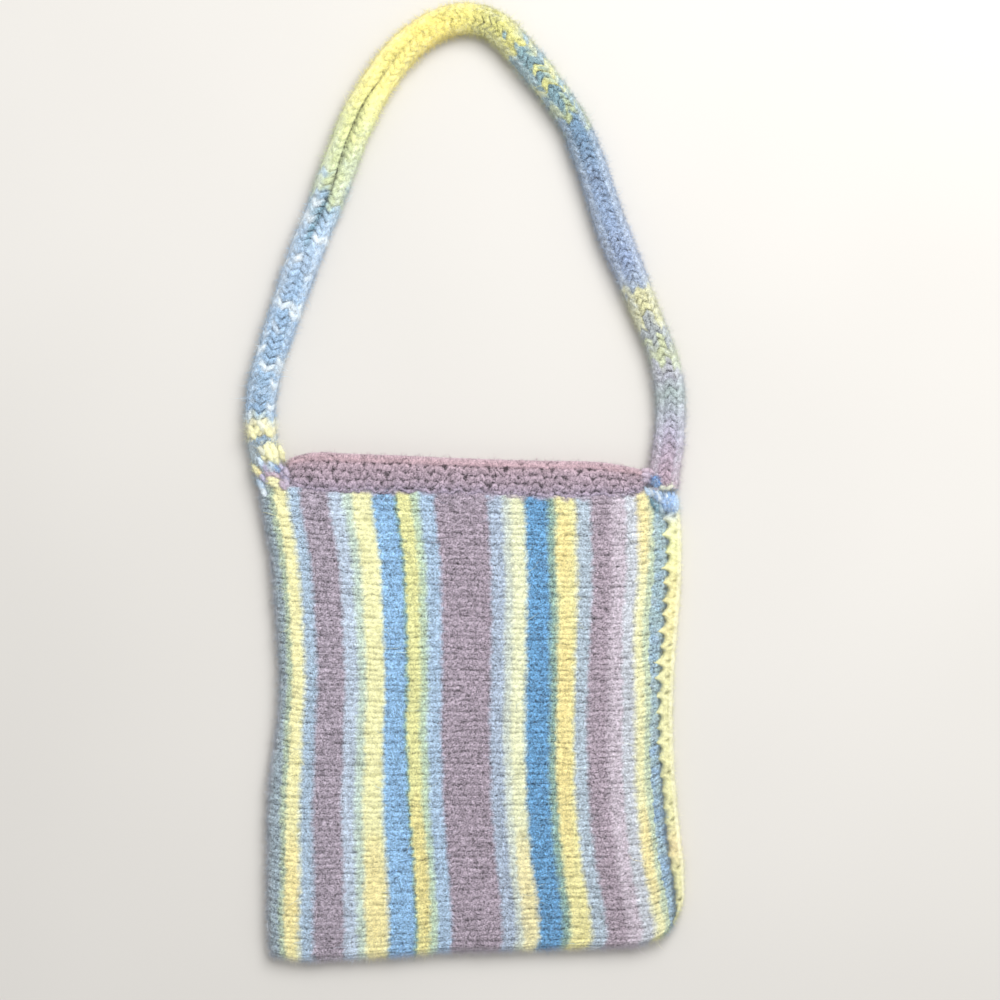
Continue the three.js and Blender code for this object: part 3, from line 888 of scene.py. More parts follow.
# %% The stripes' paint
# place in the chart, height as a share, and how far a golden patch of the yarn reaches in both
GOLDEN_PATCHES = [
    (0.054, 0.14, 0.020, 0.14), (0.250, 0.12, 0.030, 0.16), (0.354, 0.17, 0.022, 0.20),
    (0.627, 0.12, 0.024, 0.16), (0.740, 0.50, 0.026, 0.34), (0.740, 0.88, 0.020, 0.10),
    (0.943, 0.93, 0.022, 0.12), (0.943, 0.20, 0.018, 0.12),
]
GOLDEN = dyed(246, 218, 140)
GOLDEN_MIX = 0.42
MOUTH_MAUVE = dyed(180, 165, 180)
MAUVE_MIX = 0.8
# A painted highlight: the pale light that loose fibres catch along the fold and the hem
PAINTED_EDGE_LIGHT = dyed(238, 236, 244)
EDGE_LIGHT_MIX = 0.6
DENIM_START = 0.968
DENIM_PALE = dyed(184, 203, 212)
DENIM_PATCH = 5 * MM
CORNFLOWER = dyed(150, 179, 207)
CORNFLOWER_PATCH = 9 * MM
DENIM_MIX = 4.0
CORNFLOWER_MIX = 2.5
LOW_BLUE = 0.5


def golden_share(chart, up_share):
    """How golden a place is, from 0 to 1."""
    gold = np.zeros_like(chart)
    for place, height, reach, rise in GOLDEN_PATCHES:
        gold = np.maximum(gold, bump_of(chart, up_share, (place, height), (reach, rise)))
    return gold


def striped(start):
    """The stripes' colours at the kept place in the chart, from a ramp for each half of the front."""
    chart = start.kept("stripe")
    left, right = (chart.ramp(stripe_stops(half)) for half in (LEFT_STRIPES, RIGHT_STRIPES))
    yarn = left.mixed(right, chart.above(0.5))
    denim = chart.above(DENIM_START)
    pale_patches = start.noise(DENIM_PATCH, 2.0, 0.5) - 0.48
    blue_patches = start.noise(CORNFLOWER_PATCH, 1.0, 0.5) - 0.45
    yarn = yarn.mixed(DENIM_PALE, DENIM_MIX * pale_patches * denim)
    yarn = yarn.mixed(CORNFLOWER, denim * (LOW_BLUE * start.kept("low") + CORNFLOWER_MIX * blue_patches))
    yarn = yarn.mixed(GOLDEN, GOLDEN_MIX * start.kept("gold"))
    yarn = yarn.mixed(MOUTH_MAUVE, MAUVE_MIX * start.kept("mouth"))
    # Painted light along the fold and the hem
    return yarn.mixed(PAINTED_EDGE_LIGHT, EDGE_LIGHT_MIX * start.kept("halo"))


print(len(GOLDEN_PATCHES), "golden patches")

# %% [markdown]
# Each layer is a fine grid with the stitches raised on it, closed by a coarse inner face one cloth
# thickness further in, so the mesh is a real sheet with a rim at the mouth. The two borders have different
# numbers of points, and a zip of triangles joins them.

# %% The inside of a layer
CLOTH_WALL = 4.0
INNER_COLUMNS = 34
INNER_ROWS = 45
INNER_INSET = 0.03
INNER_GAP = 0.6
INNER_RISE = 8


def border(rows, columns, first=0):
    """The four sides of a grid's border as lists of points, walked round once."""
    index = first + np.arange(rows * columns).reshape(rows, columns)
    return [index[0], index[:, -1], index[-1, ::-1], index[::-1, 0]]


def zipped(outer, inner):
    """Triangles between two rows of points that run side by side."""
    faces = []
    i = j = 0
    while i < len(outer) - 1 or j < len(inner) - 1:
        outer_next = (i + 1) / (len(outer) - 1)
        inner_next = (j + 1) / (len(inner) - 1)
        if j == len(inner) - 1 or (i < len(outer) - 1 and outer_next <= inner_next):
            faces.append((outer[i + 1], outer[i], inner[j]))
            i += 1
        else:
            faces.append((outer[i], inner[j], inner[j + 1]))
            j += 1
    return [tuple(int(k) for k in face) for face in faces]


def inner_face(upper):
    """The coarse inside of a layer, one cloth thickness in, and set back from the turned edges."""
    a, u = np.meshgrid(np.linspace(0, 1, INNER_COLUMNS + 1), np.linspace(0, 1, INNER_ROWS + 1))
    across = blend(INNER_INSET, 1 - INNER_INSET, a)
    up_share = blend(INNER_INSET, 1, u)
    rise = soft(INNER_RISE * np.minimum(np.minimum(a, 1 - a), u))
    if upper:
        level = blend(FOLD_HEIGHT + INNER_GAP, pouch_thickness(across, up_share) - CLOTH_WALL, rise)
    else:
        level = blend(FOLD_HEIGHT - INNER_GAP, CLOTH_WALL, rise)
    return raised(pouch_plan(across, up_share), level)


def closed_layer(rows, columns):
    """Faces of a layer: its knit, its inside and the zips between them."""
    first = rows * columns
    faces = grid_faces(rows, columns).tolist()
    faces += grid_faces(INNER_ROWS + 1, INNER_COLUMNS + 1, first=first)[:, ::-1].tolist()
    for outer, inner in zip(border(rows, columns), border(INNER_ROWS + 1, INNER_COLUMNS + 1, first)):
        faces += zipped(outer, inner)
    return faces


print("The inside of a layer has", INNER_ROWS * INNER_COLUMNS, "quads")

# %% [markdown]
# The front counts 67 rows from the fold to the seam and 45 wales from the hem to the mouth. No two
# stitches are alike: rows and wales wander, loose wool fills the grooves unevenly, and between two wales
# and between the legs of a wale thin slits stay open in some places and are closed in others. Shade is
# painted into the grooves and, as thin dark lines, into the open slits.

# %% The stitches of a layer
KNIT_ROWS = 67
KNIT_WALES = 45
KNIT_LEGS = {"leg_reach": 1.45, "foot_spread": 0.13, "head_spread": 0.28, "leg_half": 0.19}
KNIT_WANDER = 0.12
KNIT_FILL = 0.58
DASH_DEPTH = 0.3
DASH_HALF = 0.11
STITCH_COLOUR = 0.25
GRAIN_COLOUR = 0.25
EDGE_LIGHT_CLOTH = 8.0
MOUTH_REACH = 4.4
MOUTH_FADE = 3.5
LOW_START = 0.55
LOW_FADE = 0.25


def knit_stitches(a, u, x, y, seed):
    """Wale, height with the loose wool, open part of the slits, tint and dyed row of each point."""
    wander = KNIT_WANDER * (lumps(x, y, 23.0, seed) + lumps(x, y, 6.0, seed + 5))
    row = a * KNIT_ROWS + wander
    wale = u * KNIT_WALES + wander
    height, place, leg = stocking_stitch(row, wale, **KNIT_LEGS)
    filling = KNIT_FILL + 0.24 * lumps(x, y, 3.0, seed + 1) + 0.1 * lumps(x, y, 11.0, seed + 2)
    in_row = row - np.floor(row)
    dash = 0.35 + 0.65 * soft(4 * np.minimum(in_row, 1 - in_row))
    closing = 0.4 * stitch_dice(row, np.round(2 * wale), seed + 7) + 0.5 * lumps(x, y, 6.0, seed + 9)
    open_slit = dash * np.clip(0.5 + closing, 0, 1)
    wool = felted(height, filling) - DASH_DEPTH * open_slit * bell(wale - np.round(wale), DASH_HALF)
    tint = stitch_dice(place, leg, seed + 4)
    return wale, wool, open_slit, tint, blend(row, place, STITCH_COLOUR) - wander


def knit_dyes(a, u, x, y, dyed_row, seed):
    """The values of the stripes' paint at each point."""
    across, up_share, _ = plan_shares(np.clip(dyed_row / KNIT_ROWS, 0, 1), u)
    chart = in_chart(across, up_share)
    below_mouth = (1 - up_share) * POUCH_HEIGHT - 2.5 * lumps(x, y, 4.0, seed + 8)
    from_edge = np.minimum(a * CLOTH_WIDTH, u * CLOTH_LENGTH) + 1.5 * lumps(x, y, 3.0, seed + 10)
    return {
        "stripe": chart,
        "mouth": soft((MOUTH_REACH - below_mouth) / MOUTH_FADE),
        "gold": golden_share(chart, up_share),
        "low": soft((LOW_START - up_share) / LOW_FADE),
        # Where the painted light along the fold and the hem is strongest
        "halo": soft((EDGE_LIGHT_CLOTH - from_edge) / EDGE_LIGHT_CLOTH),
    }


print("The front has", KNIT_ROWS * KNIT_WALES, "stitches")

# %% [markdown]
# Both layers come from one function. The front is in view, so it has more points to a stitch than the
# back, which lies on the floor. The relief fades out along the edges, so that the two layers meet there.

# %% A layer of knit
KNIT_RELIEF = 1.5
KNIT_CREST = 0.8
LUMP_HEIGHT = 0.35
GRAIN_HEIGHT = 0.3
BORDER_FADE = 1.2
KNIT_SHADE = 0.6
SLIT_HALF = 0.1
WALE_SLIT = 0.65
BETWEEN_LEGS = 0.55


def knit_layer(name, cells_a_row, cells_a_wale, upper, seed):
    """One layer of the pouch, and the points of its knit."""
    columns = KNIT_ROWS * cells_a_row + 1
    rows = KNIT_WALES * cells_a_wale + 1
    a, u = np.meshgrid(np.linspace(0, 1, columns), np.linspace(0, 1, rows))
    smooth_points = lying(a, u, upper)
    x, y = smooth_points[..., 0] / MM, smooth_points[..., 1] / MM
    wale, wool, open_slit, tint, dyed_row = knit_stitches(a, u, x, y, seed)
    grain = lumps(x, y, 2.2, seed + 6)
    fade = soft(np.minimum(np.minimum(a, 1 - a) * KNIT_ROWS, u * KNIT_WALES) / BORDER_FADE)
    uneven = LUMP_HEIGHT * lumps(x, y, 17.0, seed + 3) + GRAIN_HEIGHT * grain
    proud = (KNIT_RELIEF * (wool - KNIT_CREST) + uneven) * fade
    normals = grid_normals(smooth_points) * (1 if upper else -1)
    points = smooth_points + normals * proud[..., None] * MM
    values = knit_dyes(a, u, x, y, dyed_row + GRAIN_COLOUR * grain, seed)
    # Painted shade: grooves darken with the depth of the felt, and thin lines with the open slits
    values.update(tint=tint, crevice=KNIT_SHADE * (1 - wool) * fade, wale=wale, open=open_slit * fade)
    inside = inner_face(upper).reshape(-1, 3)
    kept_values = {}
    for label, value in values.items():
        kept_values[label] = np.append(value, np.full(len(inside), value.mean()))
    all_points = np.vstack([points.reshape(-1, 3), inside])
    faces = closed_layer(rows, columns)
    return add_piece(name, all_points, faces, "striped_knit", striped_wool, "body", **kept_values), points


def knit_slit_shade(start):
    """Painted shade: thin dark lines between wales and a wale's legs, where the felt leaves them open."""
    crooked = start.kept("wale") + 0.25 * (start.noise(SLIT_BEND, 1.0, 0.0) - NOISE_MEAN)
    between_wales = thin_line(off_whole(crooked), SLIT_HALF)
    between_legs = thin_line(off_whole(crooked + 0.5), SLIT_HALF)
    return start.kept("open") * (WALE_SLIT * between_wales + BETWEEN_LEGS * between_legs)


striped_wool = felted_wool("striped_wool", striped, groove=0.5, curly=1.1, slits=knit_slit_shade)
front, front_points = knit_layer("pouch_front", cells_a_row=4, cells_a_wale=8, upper=True, seed=10)
back, _ = knit_layer("pouch_back", cells_a_row=2, cells_a_wale=4, upper=False, seed=20)

# %% [markdown]
# ## The mouth band
#
# Rounds of single crochet finish the mouth: a short course that laps the knit, three clear ones of uneven
# height and a thin felted rim, pinker than the rest. Crochet could be looped as yarn, but felting has closed
# it up, so the band is a ring of cloth with the form of the stitches raised on it. A stitch is an uneven
# bump with a short slit below its bar, and thin dark curls of painted shade show between its strands.

# %% Height of the crochet
CROCHET_DICE = 1024
COURSE_JUMP = 131
STRAY_ASIDE = 0.26
STRAY_UP = 0.16
STITCH_ARCH = 0.9
STITCH_HALF = (0.7, 0.56)
STITCH_LEAN = 0.6
STITCH_UNEVEN = 0.14
STITCH_SLIT = 0.45


def single_crochet(stitch, course, seed):
    """Height of single crochet from 0 to 1, its stitch's number, and its lead over the stitches beside it."""
    dice = np.random.default_rng(seed).uniform(-1, 1, (4, CROCHET_DICE))
    height = np.zeros_like(stitch)
    runner_up = np.zeros_like(stitch)
    number = np.zeros(stitch.shape, int)
    for below, beside in [(below, beside) for below in (-1, 0, 1) for beside in (-1, 0, 1)]:
        level = np.floor(course) + below
        cell = np.floor(stitch + 0.5 * level) + beside
        index = np.mod(cell + COURSE_JUMP * level, CROCHET_DICE).astype(int)
        aside_dice, up_dice, lean_dice, height_dice = dice[:, index]
        x = stitch + 0.5 * level - cell - 0.5 - STRAY_ASIDE * aside_dice
        y = course - level - 0.5 - STRAY_UP * up_dice
        y = y + STITCH_ARCH * x * x - 0.1
        rise = bump_of(x + STITCH_LEAN * y * lean_dice, y, (0, 0), STITCH_HALF)
        rise = rise * (1 + STITCH_UNEVEN * height_dice)
        rise = rise * (1 - STITCH_SLIT * bell(x, 0.1) * soft(0.5 - 2 * y))
        number = np.where(rise > height, index, number)
        runner_up = np.maximum(runner_up, np.minimum(rise, height))
        height = np.maximum(height, rise)
    return height, number, height - runner_up


one_bump = single_crochet(np.array([0.5]), np.array([0.5]), 30)[0]
print("A stitch of crochet stands", one_bump.round(2), "of the relief high")

# %% [markdown]
# The band goes once round the mouth: across the front, round the turn, and back behind. Its rows of points
# climb the outside, go over the rim and come down inside, so it is a closed ring of cloth with two faces.

# %% The band's ring
BAND_RIM = [
    (-117.3, 15.0), (-108.3, 18.2), (-95.3, 19.8), (-75.3, 18.8), (-43.3, 17.7), (-10.3, 16.1), (34.7, 14.6),
    (79.7, 13.8), (99.7, 11.4), (116.7, 7.8),
]
BAND_COURSES = 5
COURSE_LEVELS = [0.0, 0.13, 0.36, 0.6, 0.85, 1.0]
BAND_STITCHES = 42
CELLS_A_STITCH = 9
BAND_ROWS = 32
BAND_WALL = 4.2
BAND_RELIEF = 1.9
BAND_CREST = 0.75
BAND_LAP = 1.6
LAP_WAVE = 1.5
BAND_LIFT = 0.4
RIM_CELLS = 6
INSIDE_CELLS = 6

rim_line = Route(np.array(BAND_RIM))
band_start, band_end = BAND_RIM[0][0], BAND_RIM[-1][0]
band_width = band_end - band_start
band_cloth = band_width + 2 * (TURN_CLOTH - TURN_PLAN)


def mouth_level(x):
    """Where the knit's edge lies at a place across the bag, both in millimetres."""
    return np.interp(x, mouth_line.line[:, 0] / MM, mouth_line.line[:, 1] / MM)


def rim_level(x):
    """Where the band's rim lies at a place across the bag, both in millimetres."""
    return np.interp(x, rim_line.line[:, 0], rim_line.line[:, 1])


def band_surface(turn, up_part):
    """Points of the band's outside: turns up to 0.5 cross the front, and up to 1 they come back behind."""
    cloth = (1 - np.abs(2 * turn - 1)) * band_cloth
    from_left, left_rise = turned_over(cloth)
    from_right, right_rise = turned_over(band_cloth - cloth)
    x = np.where(cloth < band_cloth / 2, band_start + from_left, band_end - from_right)
    lap = BAND_LAP + LAP_WAVE * lumps(turn * 2 * band_cloth, 0 * x, 4.5, 34)
    y = blend(mouth_level(x) - lap, rim_level(x) - BAND_WALL / 2, up_part)
    top = pouch_thickness((x + POUCH_WIDTH / 2) / POUCH_WIDTH, np.ones_like(x)) + BAND_LIFT
    risen = left_rise * right_rise
    z = np.where(turn < 0.5, blend(FOLD_HEIGHT, top, risen), FOLD_HEIGHT * (1 - risen))
    return np.stack([x, y, z], axis=-1) * MM


half_wall = BAND_WALL / 2
rim_turn = np.linspace(0, np.pi, RIM_CELLS + 1)[1:-1]
outside_rows = np.linspace(0, 1, BAND_ROWS + 1)
outside_courses = np.interp(outside_rows, COURSE_LEVELS, np.arange(BAND_COURSES + 1))
inside_rows = np.linspace(1, 0, INSIDE_CELLS + 1)
band_up = np.concatenate([outside_rows, np.ones(RIM_CELLS - 1), inside_rows])
rim_depth = half_wall * (1 - np.cos(rim_turn))
band_depth = np.concatenate([0 * outside_rows, rim_depth, 0 * inside_rows + BAND_WALL])
band_above = np.concatenate([0 * outside_rows, half_wall * np.sin(rim_turn), 0 * inside_rows])
band_course = np.concatenate([outside_courses, BAND_COURSES + rim_turn / np.pi, 0 * inside_rows])
band_columns = 2 * BAND_STITCHES * CELLS_A_STITCH
band_turn = np.linspace(0, 1, band_columns, endpoint=False)
turns, ups = np.meshgrid(band_turn, band_up)
band_smooth = band_surface(turns, ups)
outer_normals = grid_normals(band_smooth[: len(outside_rows)], closed=True)
hidden_rows = len(band_up) - len(outside_rows)
band_normals = np.concatenate([outer_normals, np.repeat(outer_normals[-1:], hidden_rows, axis=0)])
print("The band is", round(band_width), "mm wide and has", len(band_up), "rows of points")

# %% [markdown]
# The height of the crochet is laid on the outside and on the rim. The inside is plain, because the mouth
# lies nearly shut. Loose wool fills the pits unevenly and covers the rim.

# %% The band's stitches
RIM_COURSE = 4.0
RIM_FADE = 0.3
RIM_FILL = 0.5
BAND_FILL = 0.28

courses = np.broadcast_to(band_course[:, None], turns.shape)
band_x, band_y = band_smooth[..., 0] / MM, band_smooth[..., 1] / MM
stitches = turns * 2 * BAND_STITCHES + 0.16 * lumps(band_x, band_y, 2.4, 36)
uneven_courses = courses + 0.1 * lumps(band_x, band_y, 2.4, 37)
crochet, band_stitch, band_lead = single_crochet(stitches, uneven_courses, 30)
open_side = (band_depth < BAND_WALL)[:, None]
rim_felt = soft((courses - RIM_COURSE) / RIM_FADE)
band_fill = BAND_FILL + 0.26 * lumps(band_x, band_y, 2.6, 31) + RIM_FILL * rim_felt
band_wool = np.where(open_side, felted(crochet, band_fill), BAND_CREST)
band_proud = BAND_RELIEF * (band_wool - BAND_CREST) + 0.4 * lumps(band_x, band_y, 14.0, 32)
band_points = band_smooth + band_normals * ((band_proud - band_depth[:, None]) * MM)[..., None]
band_points[..., 1] += band_above[:, None] * (1 + 0.25 * (band_wool - 0.5)) * MM
print("The band has", BAND_STITCHES, "stitches across the front")

# %% [markdown]
# Shade gathers where two stitches meet, so a stitch's lead over its neighbours is turned into a crevice.
# The dye follows the courses, from a greyer mauve at the knit to a pinker one at the rim.

# %% The band's wool
BAND_CHART = [
    (0.0, 174, 163, 184), (0.17, 184, 168, 186), (0.34, 189, 170, 184), (0.52, 192, 171, 184),
    (0.64, 194, 171, 182), (0.70, 200, 172, 181), (0.80, 198, 169, 177), (0.88, 190, 165, 173),
    (1.0, 180, 158, 168),
]
CURLED_SIZE = 3.0 * MM
CURLED_HALF = 0.06


def band_yarn(start):
    """Mauve, and pinker towards the rim."""
    return start.kept("course").ramp(BAND_CHART)


def band_curl_shade(start):
    """Painted shade: thin dark curls between the strands of the crochet."""
    return 0.6 * start.kept("open") * threads(start.noise(CURLED_SIZE, 1.0, 1.6), CURLED_HALF)


felt_patch = np.clip(0.75 + 0.5 * lumps(band_x, band_y, 5.0, 35) - 0.6 * rim_felt, 0, 1)
band_border = np.clip(1 - band_lead / 0.2, 0, 1) * felt_patch
band_values = {
    "course": courses / (BAND_COURSES + 1),
    "tint": np.random.default_rng(33).uniform(-1, 1, 512)[np.mod(band_stitch, 512)],
    "crevice": np.clip(band_border + 0.7 * (1 - band_wool) - 0.15, 0, 1),
    "open": 1 - 0.8 * rim_felt,
}
band_faces = grid_faces(len(band_up) + 1, band_columns, closed=True) % (len(band_up) * band_columns)
band_faces = band_faces.tolist()
band_felt = felted_wool("mauve_wool", band_yarn, groove=0.95, curly=0.7, slits=band_curl_shade)
band = add_piece(
    "crochet_band", band_points, band_faces, "mauve_crochet", band_felt, "mouth_band", **band_values
)
2 * band_cloth * MM

# %% [markdown]
# ## The side seam
#
# The open side is closed with thick pale yellow yarn, crocheted over the edge: each stitch starts from
# one hole in the knit and spreads over the edge, so that a row of teeth points into the cloth. Felting has
# closed the strands up, so the edging is one grid along the edge and round it. Its inner side is drawn into
# teeth, longer in the upper half, and its outer side is a round ridge with a dimple for each stitch. The
# head of the seam is blue, where the yarn changes colour.

# %% The seam's stitches
SEAM_STITCHES = 27
SEAM_FOOT = 0.03
SEAM_HEAD = 0.985
SEAM_STEPS = 16 * SEAM_STITCHES
SEAM_SIDES = 28
FOOT_RUN = 14
HEAD_RUN = 40
THIN_FOOT = 0.5
THIN_SHARE = 0.16
seam_dice = np.random.default_rng(41)


def beside_seam(along_seam, out, level):
    """Points at a distance out from the edge of the knit and at a height, both in millimetres."""
    share = np.clip(blend(SEAM_FOOT, SEAM_HEAD, along_seam), 0, 1)
    run = seam_line.heading(share)
    outward = np.stack([run[..., 1], -run[..., 0]], axis=-1)
    plan = seam_line.at(share) + outward * out[..., None] * MM
    return raised(plan, level)


edging_along, edging_turn = np.meshgrid(
    np.linspace(0, 1, SEAM_STEPS), np.linspace(0, 2 * np.pi, SEAM_SIDES, endpoint=False), indexing="ij"
)
stitch_number = np.minimum(np.floor(edging_along * SEAM_STITCHES), SEAM_STITCHES - 1).astype(int)
in_stitch = edging_along * SEAM_STITCHES - stitch_number
thin_end = blend(THIN_FOOT, 1.0, soft(edging_along / THIN_SHARE))
thin_end = thin_end * soft(0.2 + edging_along * FOOT_RUN) * soft(0.2 + (1 - edging_along) * HEAD_RUN)
print("The seam's edging has", SEAM_STITCHES, "stitches")

# %% [markdown]
# A tooth rises steeply to its tip and falls away slowly, as a slanting stitch does. On its inner side the
# edging rests on the knit, and on its outer side it is round and goes down to the floor.

# %% The seam's teeth
SEAM_MIDDLE = 4.2
SEAM_TOP = 10.8
SEAM_CLIMB = 0.2
TOOTH_REACH = (2.2, 7.0)
LOWER_TEETH = 0.4
TIP_PLACE = (0.18, 0.4)
TIP_SINK = 1.5
VALLEY_SINK = 2.6
TOOTH_CUSP = 1.7

outer = np.cos(edging_turn)
over = np.sin(edging_turn)
upper_part = soft((edging_along - 0.25) / 0.35)
tooth_reach = seam_dice.uniform(*TOOTH_REACH, SEAM_STITCHES)[stitch_number]
tooth_reach = tooth_reach * blend(LOWER_TEETH, 1.0, upper_part)
tip_place = seam_dice.uniform(*TIP_PLACE, SEAM_STITCHES)[stitch_number]
toothed = np.where(in_stitch < tip_place, in_stitch / tip_place, (1 - in_stitch) / (1 - tip_place))
toothed = toothed**TOOTH_CUSP
inward = thin_end * (tooth_reach * toothed - 0.4)
inner_sink = TIP_SINK + VALLEY_SINK * (1 - toothed * upper_part)
edging_middle = SEAM_MIDDLE * thin_end
edging_out = edging_middle * (1 + np.maximum(outer, 0)) + (edging_middle + inward) * np.minimum(outer, 0)
edging_top = SEAM_TOP * blend(0.85, 1.0, thin_end)
round_side = edging_top / 2 * (1 + over)
on_knit = edging_top + SEAM_CLIMB * (edging_middle - edging_out)
on_knit = on_knit - inner_sink * np.abs(outer) ** blend(1.8, 4.0, upper_part)
tip_level = edging_top + SEAM_CLIMB * (edging_middle + inward) - inner_sink
inner_side = np.where(over >= 0, on_knit, tip_level * np.abs(outer) ** 3)
print("The longest tooth reaches", round(inward.max(), 1), "mm into the knit")

# %% [markdown]
# Each stitch leaves a slanting dimple where the hook went in. The chain of loops along the outer edge is
# the ridge, with a shallow furrow beside it.

# %% The seam's ridge and dimples
RIDGE_START = 0.9
SEAM_SPAN = 280
SEAM_PITCH = 10.4
DIMPLE_SLANT = 0.4
DIMPLE_SIZES = (0.2, 1.1)
DIMPLE_DEPTH = 2.4
FURROW_DEPTH = 0.5

off_middle = edging_out - edging_middle
across_dash = (in_stitch - 0.5) * SEAM_PITCH - DIMPLE_SLANT * off_middle
dimple = seam_dice.uniform(*DIMPLE_SIZES, SEAM_STITCHES)[stitch_number] * (over > 0)
dimple = dimple * bell(across_dash, 0.95) * bell(off_middle, 1.5)
beside_ridge = bell(off_middle - RIDGE_START, 0.7) * (over > 0)
beside_ridge = beside_ridge * (0.6 + 0.4 * lumps(edging_along * SEAM_SPAN, off_middle, 6.0, 43))
strands = 0.16 * np.cos(2 * np.pi * (3 * in_stitch + 0.12 * edging_out))
strands = strands + 0.5 * lumps(edging_along * SEAM_SPAN, edging_turn * 2, 5.0, 42)
edging_level = np.where(outer > 0, round_side, inner_side) + np.maximum(over, 0) * strands
edging_level = edging_level - DIMPLE_DEPTH * dimple - FURROW_DEPTH * beside_ridge
edging_points = beside_seam(edging_along, edging_out, np.maximum(edging_level, 0))
edging_faces = grid_faces(SEAM_STEPS, SEAM_SIDES, closed=True).tolist()
edging_faces += [tuple(range(SEAM_SIDES)), tuple(SEAM_SIDES * SEAM_STEPS - 1 - k for k in range(SEAM_SIDES))]
print("The deepest dimple is", round(DIMPLE_DEPTH * dimple.max(), 1), "mm deep")

# %% [markdown]
# The yarn is pale yellow, with a patch of peach low down, and turns blue at the head. The ridge has a
# painted highlight, paler, where its loose fibres catch the light.

# %% The seam's wool
SEAM_CHART = [
    (0.0, 234, 231, 184), (0.12, 236, 233, 180), (0.18, 238, 223, 176), (0.24, 236, 233, 180),
    (0.55, 237, 235, 184), (0.70, 239, 231, 174), (0.80, 239, 232, 174), (0.88, 236, 237, 178),
    (0.925, 236, 236, 186), (0.945, 216, 224, 216), (0.96, 172, 200, 226), (1.0, 160, 190, 220),
]
RIDGE_HIGHLIGHT = dyed(246, 243, 206)


def seam_yarn(start):
    """The seam's colours along it, with a painted highlight on the ridge at its outer edge."""
    return start.kept("along").ramp(SEAM_CHART).mixed(RIDGE_HIGHLIGHT, 0.7 * start.kept("ridge"))


seam_values = {
    "along": edging_along,
    "tint": seam_dice.uniform(-1, 1, SEAM_STITCHES)[stitch_number],
    # Painted shade in the dimples and in the furrow beside the ridge
    "crevice": dimple + 0.25 * beside_ridge,
    # Where the painted highlight lies on the ridge
    "ridge": soft((off_middle - RIDGE_START) / 1.4) * (over > -0.2),
}
seam_wool = felted_wool("yellow_wool", seam_yarn, groove=0.6, curly=0.75)
seam = add_piece(
    "crochet_seam", edging_points, edging_faces, "yellow_yarn", seam_wool, "side_seam", **seam_values
)

# %% [markdown]
# ## Sewing at the corners
#
# The strap's ends are sewn to the corners of the mouth by hand, with long stitches of whatever yarn was
# left: big yellow Vs and lavender loops at the left, a blue knot and blue whip stitches at the right. Each
# stitch is a yarn of two plies, swept along its own path and thin at both ends. A short table gives the ends
# of each stitch. It rests on whatever lies below it and dips in at both ends.

# %% Swept yarn
YARN_TWIST = 900.0
PLY_HEIGHT = 0.13


def swept(path, radius, sides_count, flatness):
    """Points of a closed yarn of two plies along a path, with a radius for each point of the path."""
    steps = np.gradient(path, axis=0)
    steps /= np.linalg.norm(steps, axis=1, keepdims=True)
    beside = np.cross(steps, (0, 0, 1))
    beside /= np.linalg.norm(beside, axis=1, keepdims=True)
    over = np.cross(beside, steps) * flatness
    travelled = np.concatenate([[0], np.cumsum(np.linalg.norm(np.diff(path, axis=0), axis=1))])
    turn = np.linspace(0, 2 * np.pi, sides_count, endpoint=False)[None, :]
    thick = radius[:, None] * (1 + PLY_HEIGHT * np.cos(2 * turn - YARN_TWIST * travelled[:, None]))
    ring = beside[:, None, :] * np.cos(turn)[..., None] + over[:, None, :] * np.sin(turn)[..., None]
    points = path[:, None, :] + ring * thick[..., None]
    return np.vstack([points.reshape(-1, 3), path[0], path[-1]])


print("The plies change places every", round(2 * np.pi / YARN_TWIST / MM, 1), "mm")

# %% [markdown]
# The table was written down from the photograph, one row for each stitch. Every stitch is straight in
# plan, so its two ends are enough.

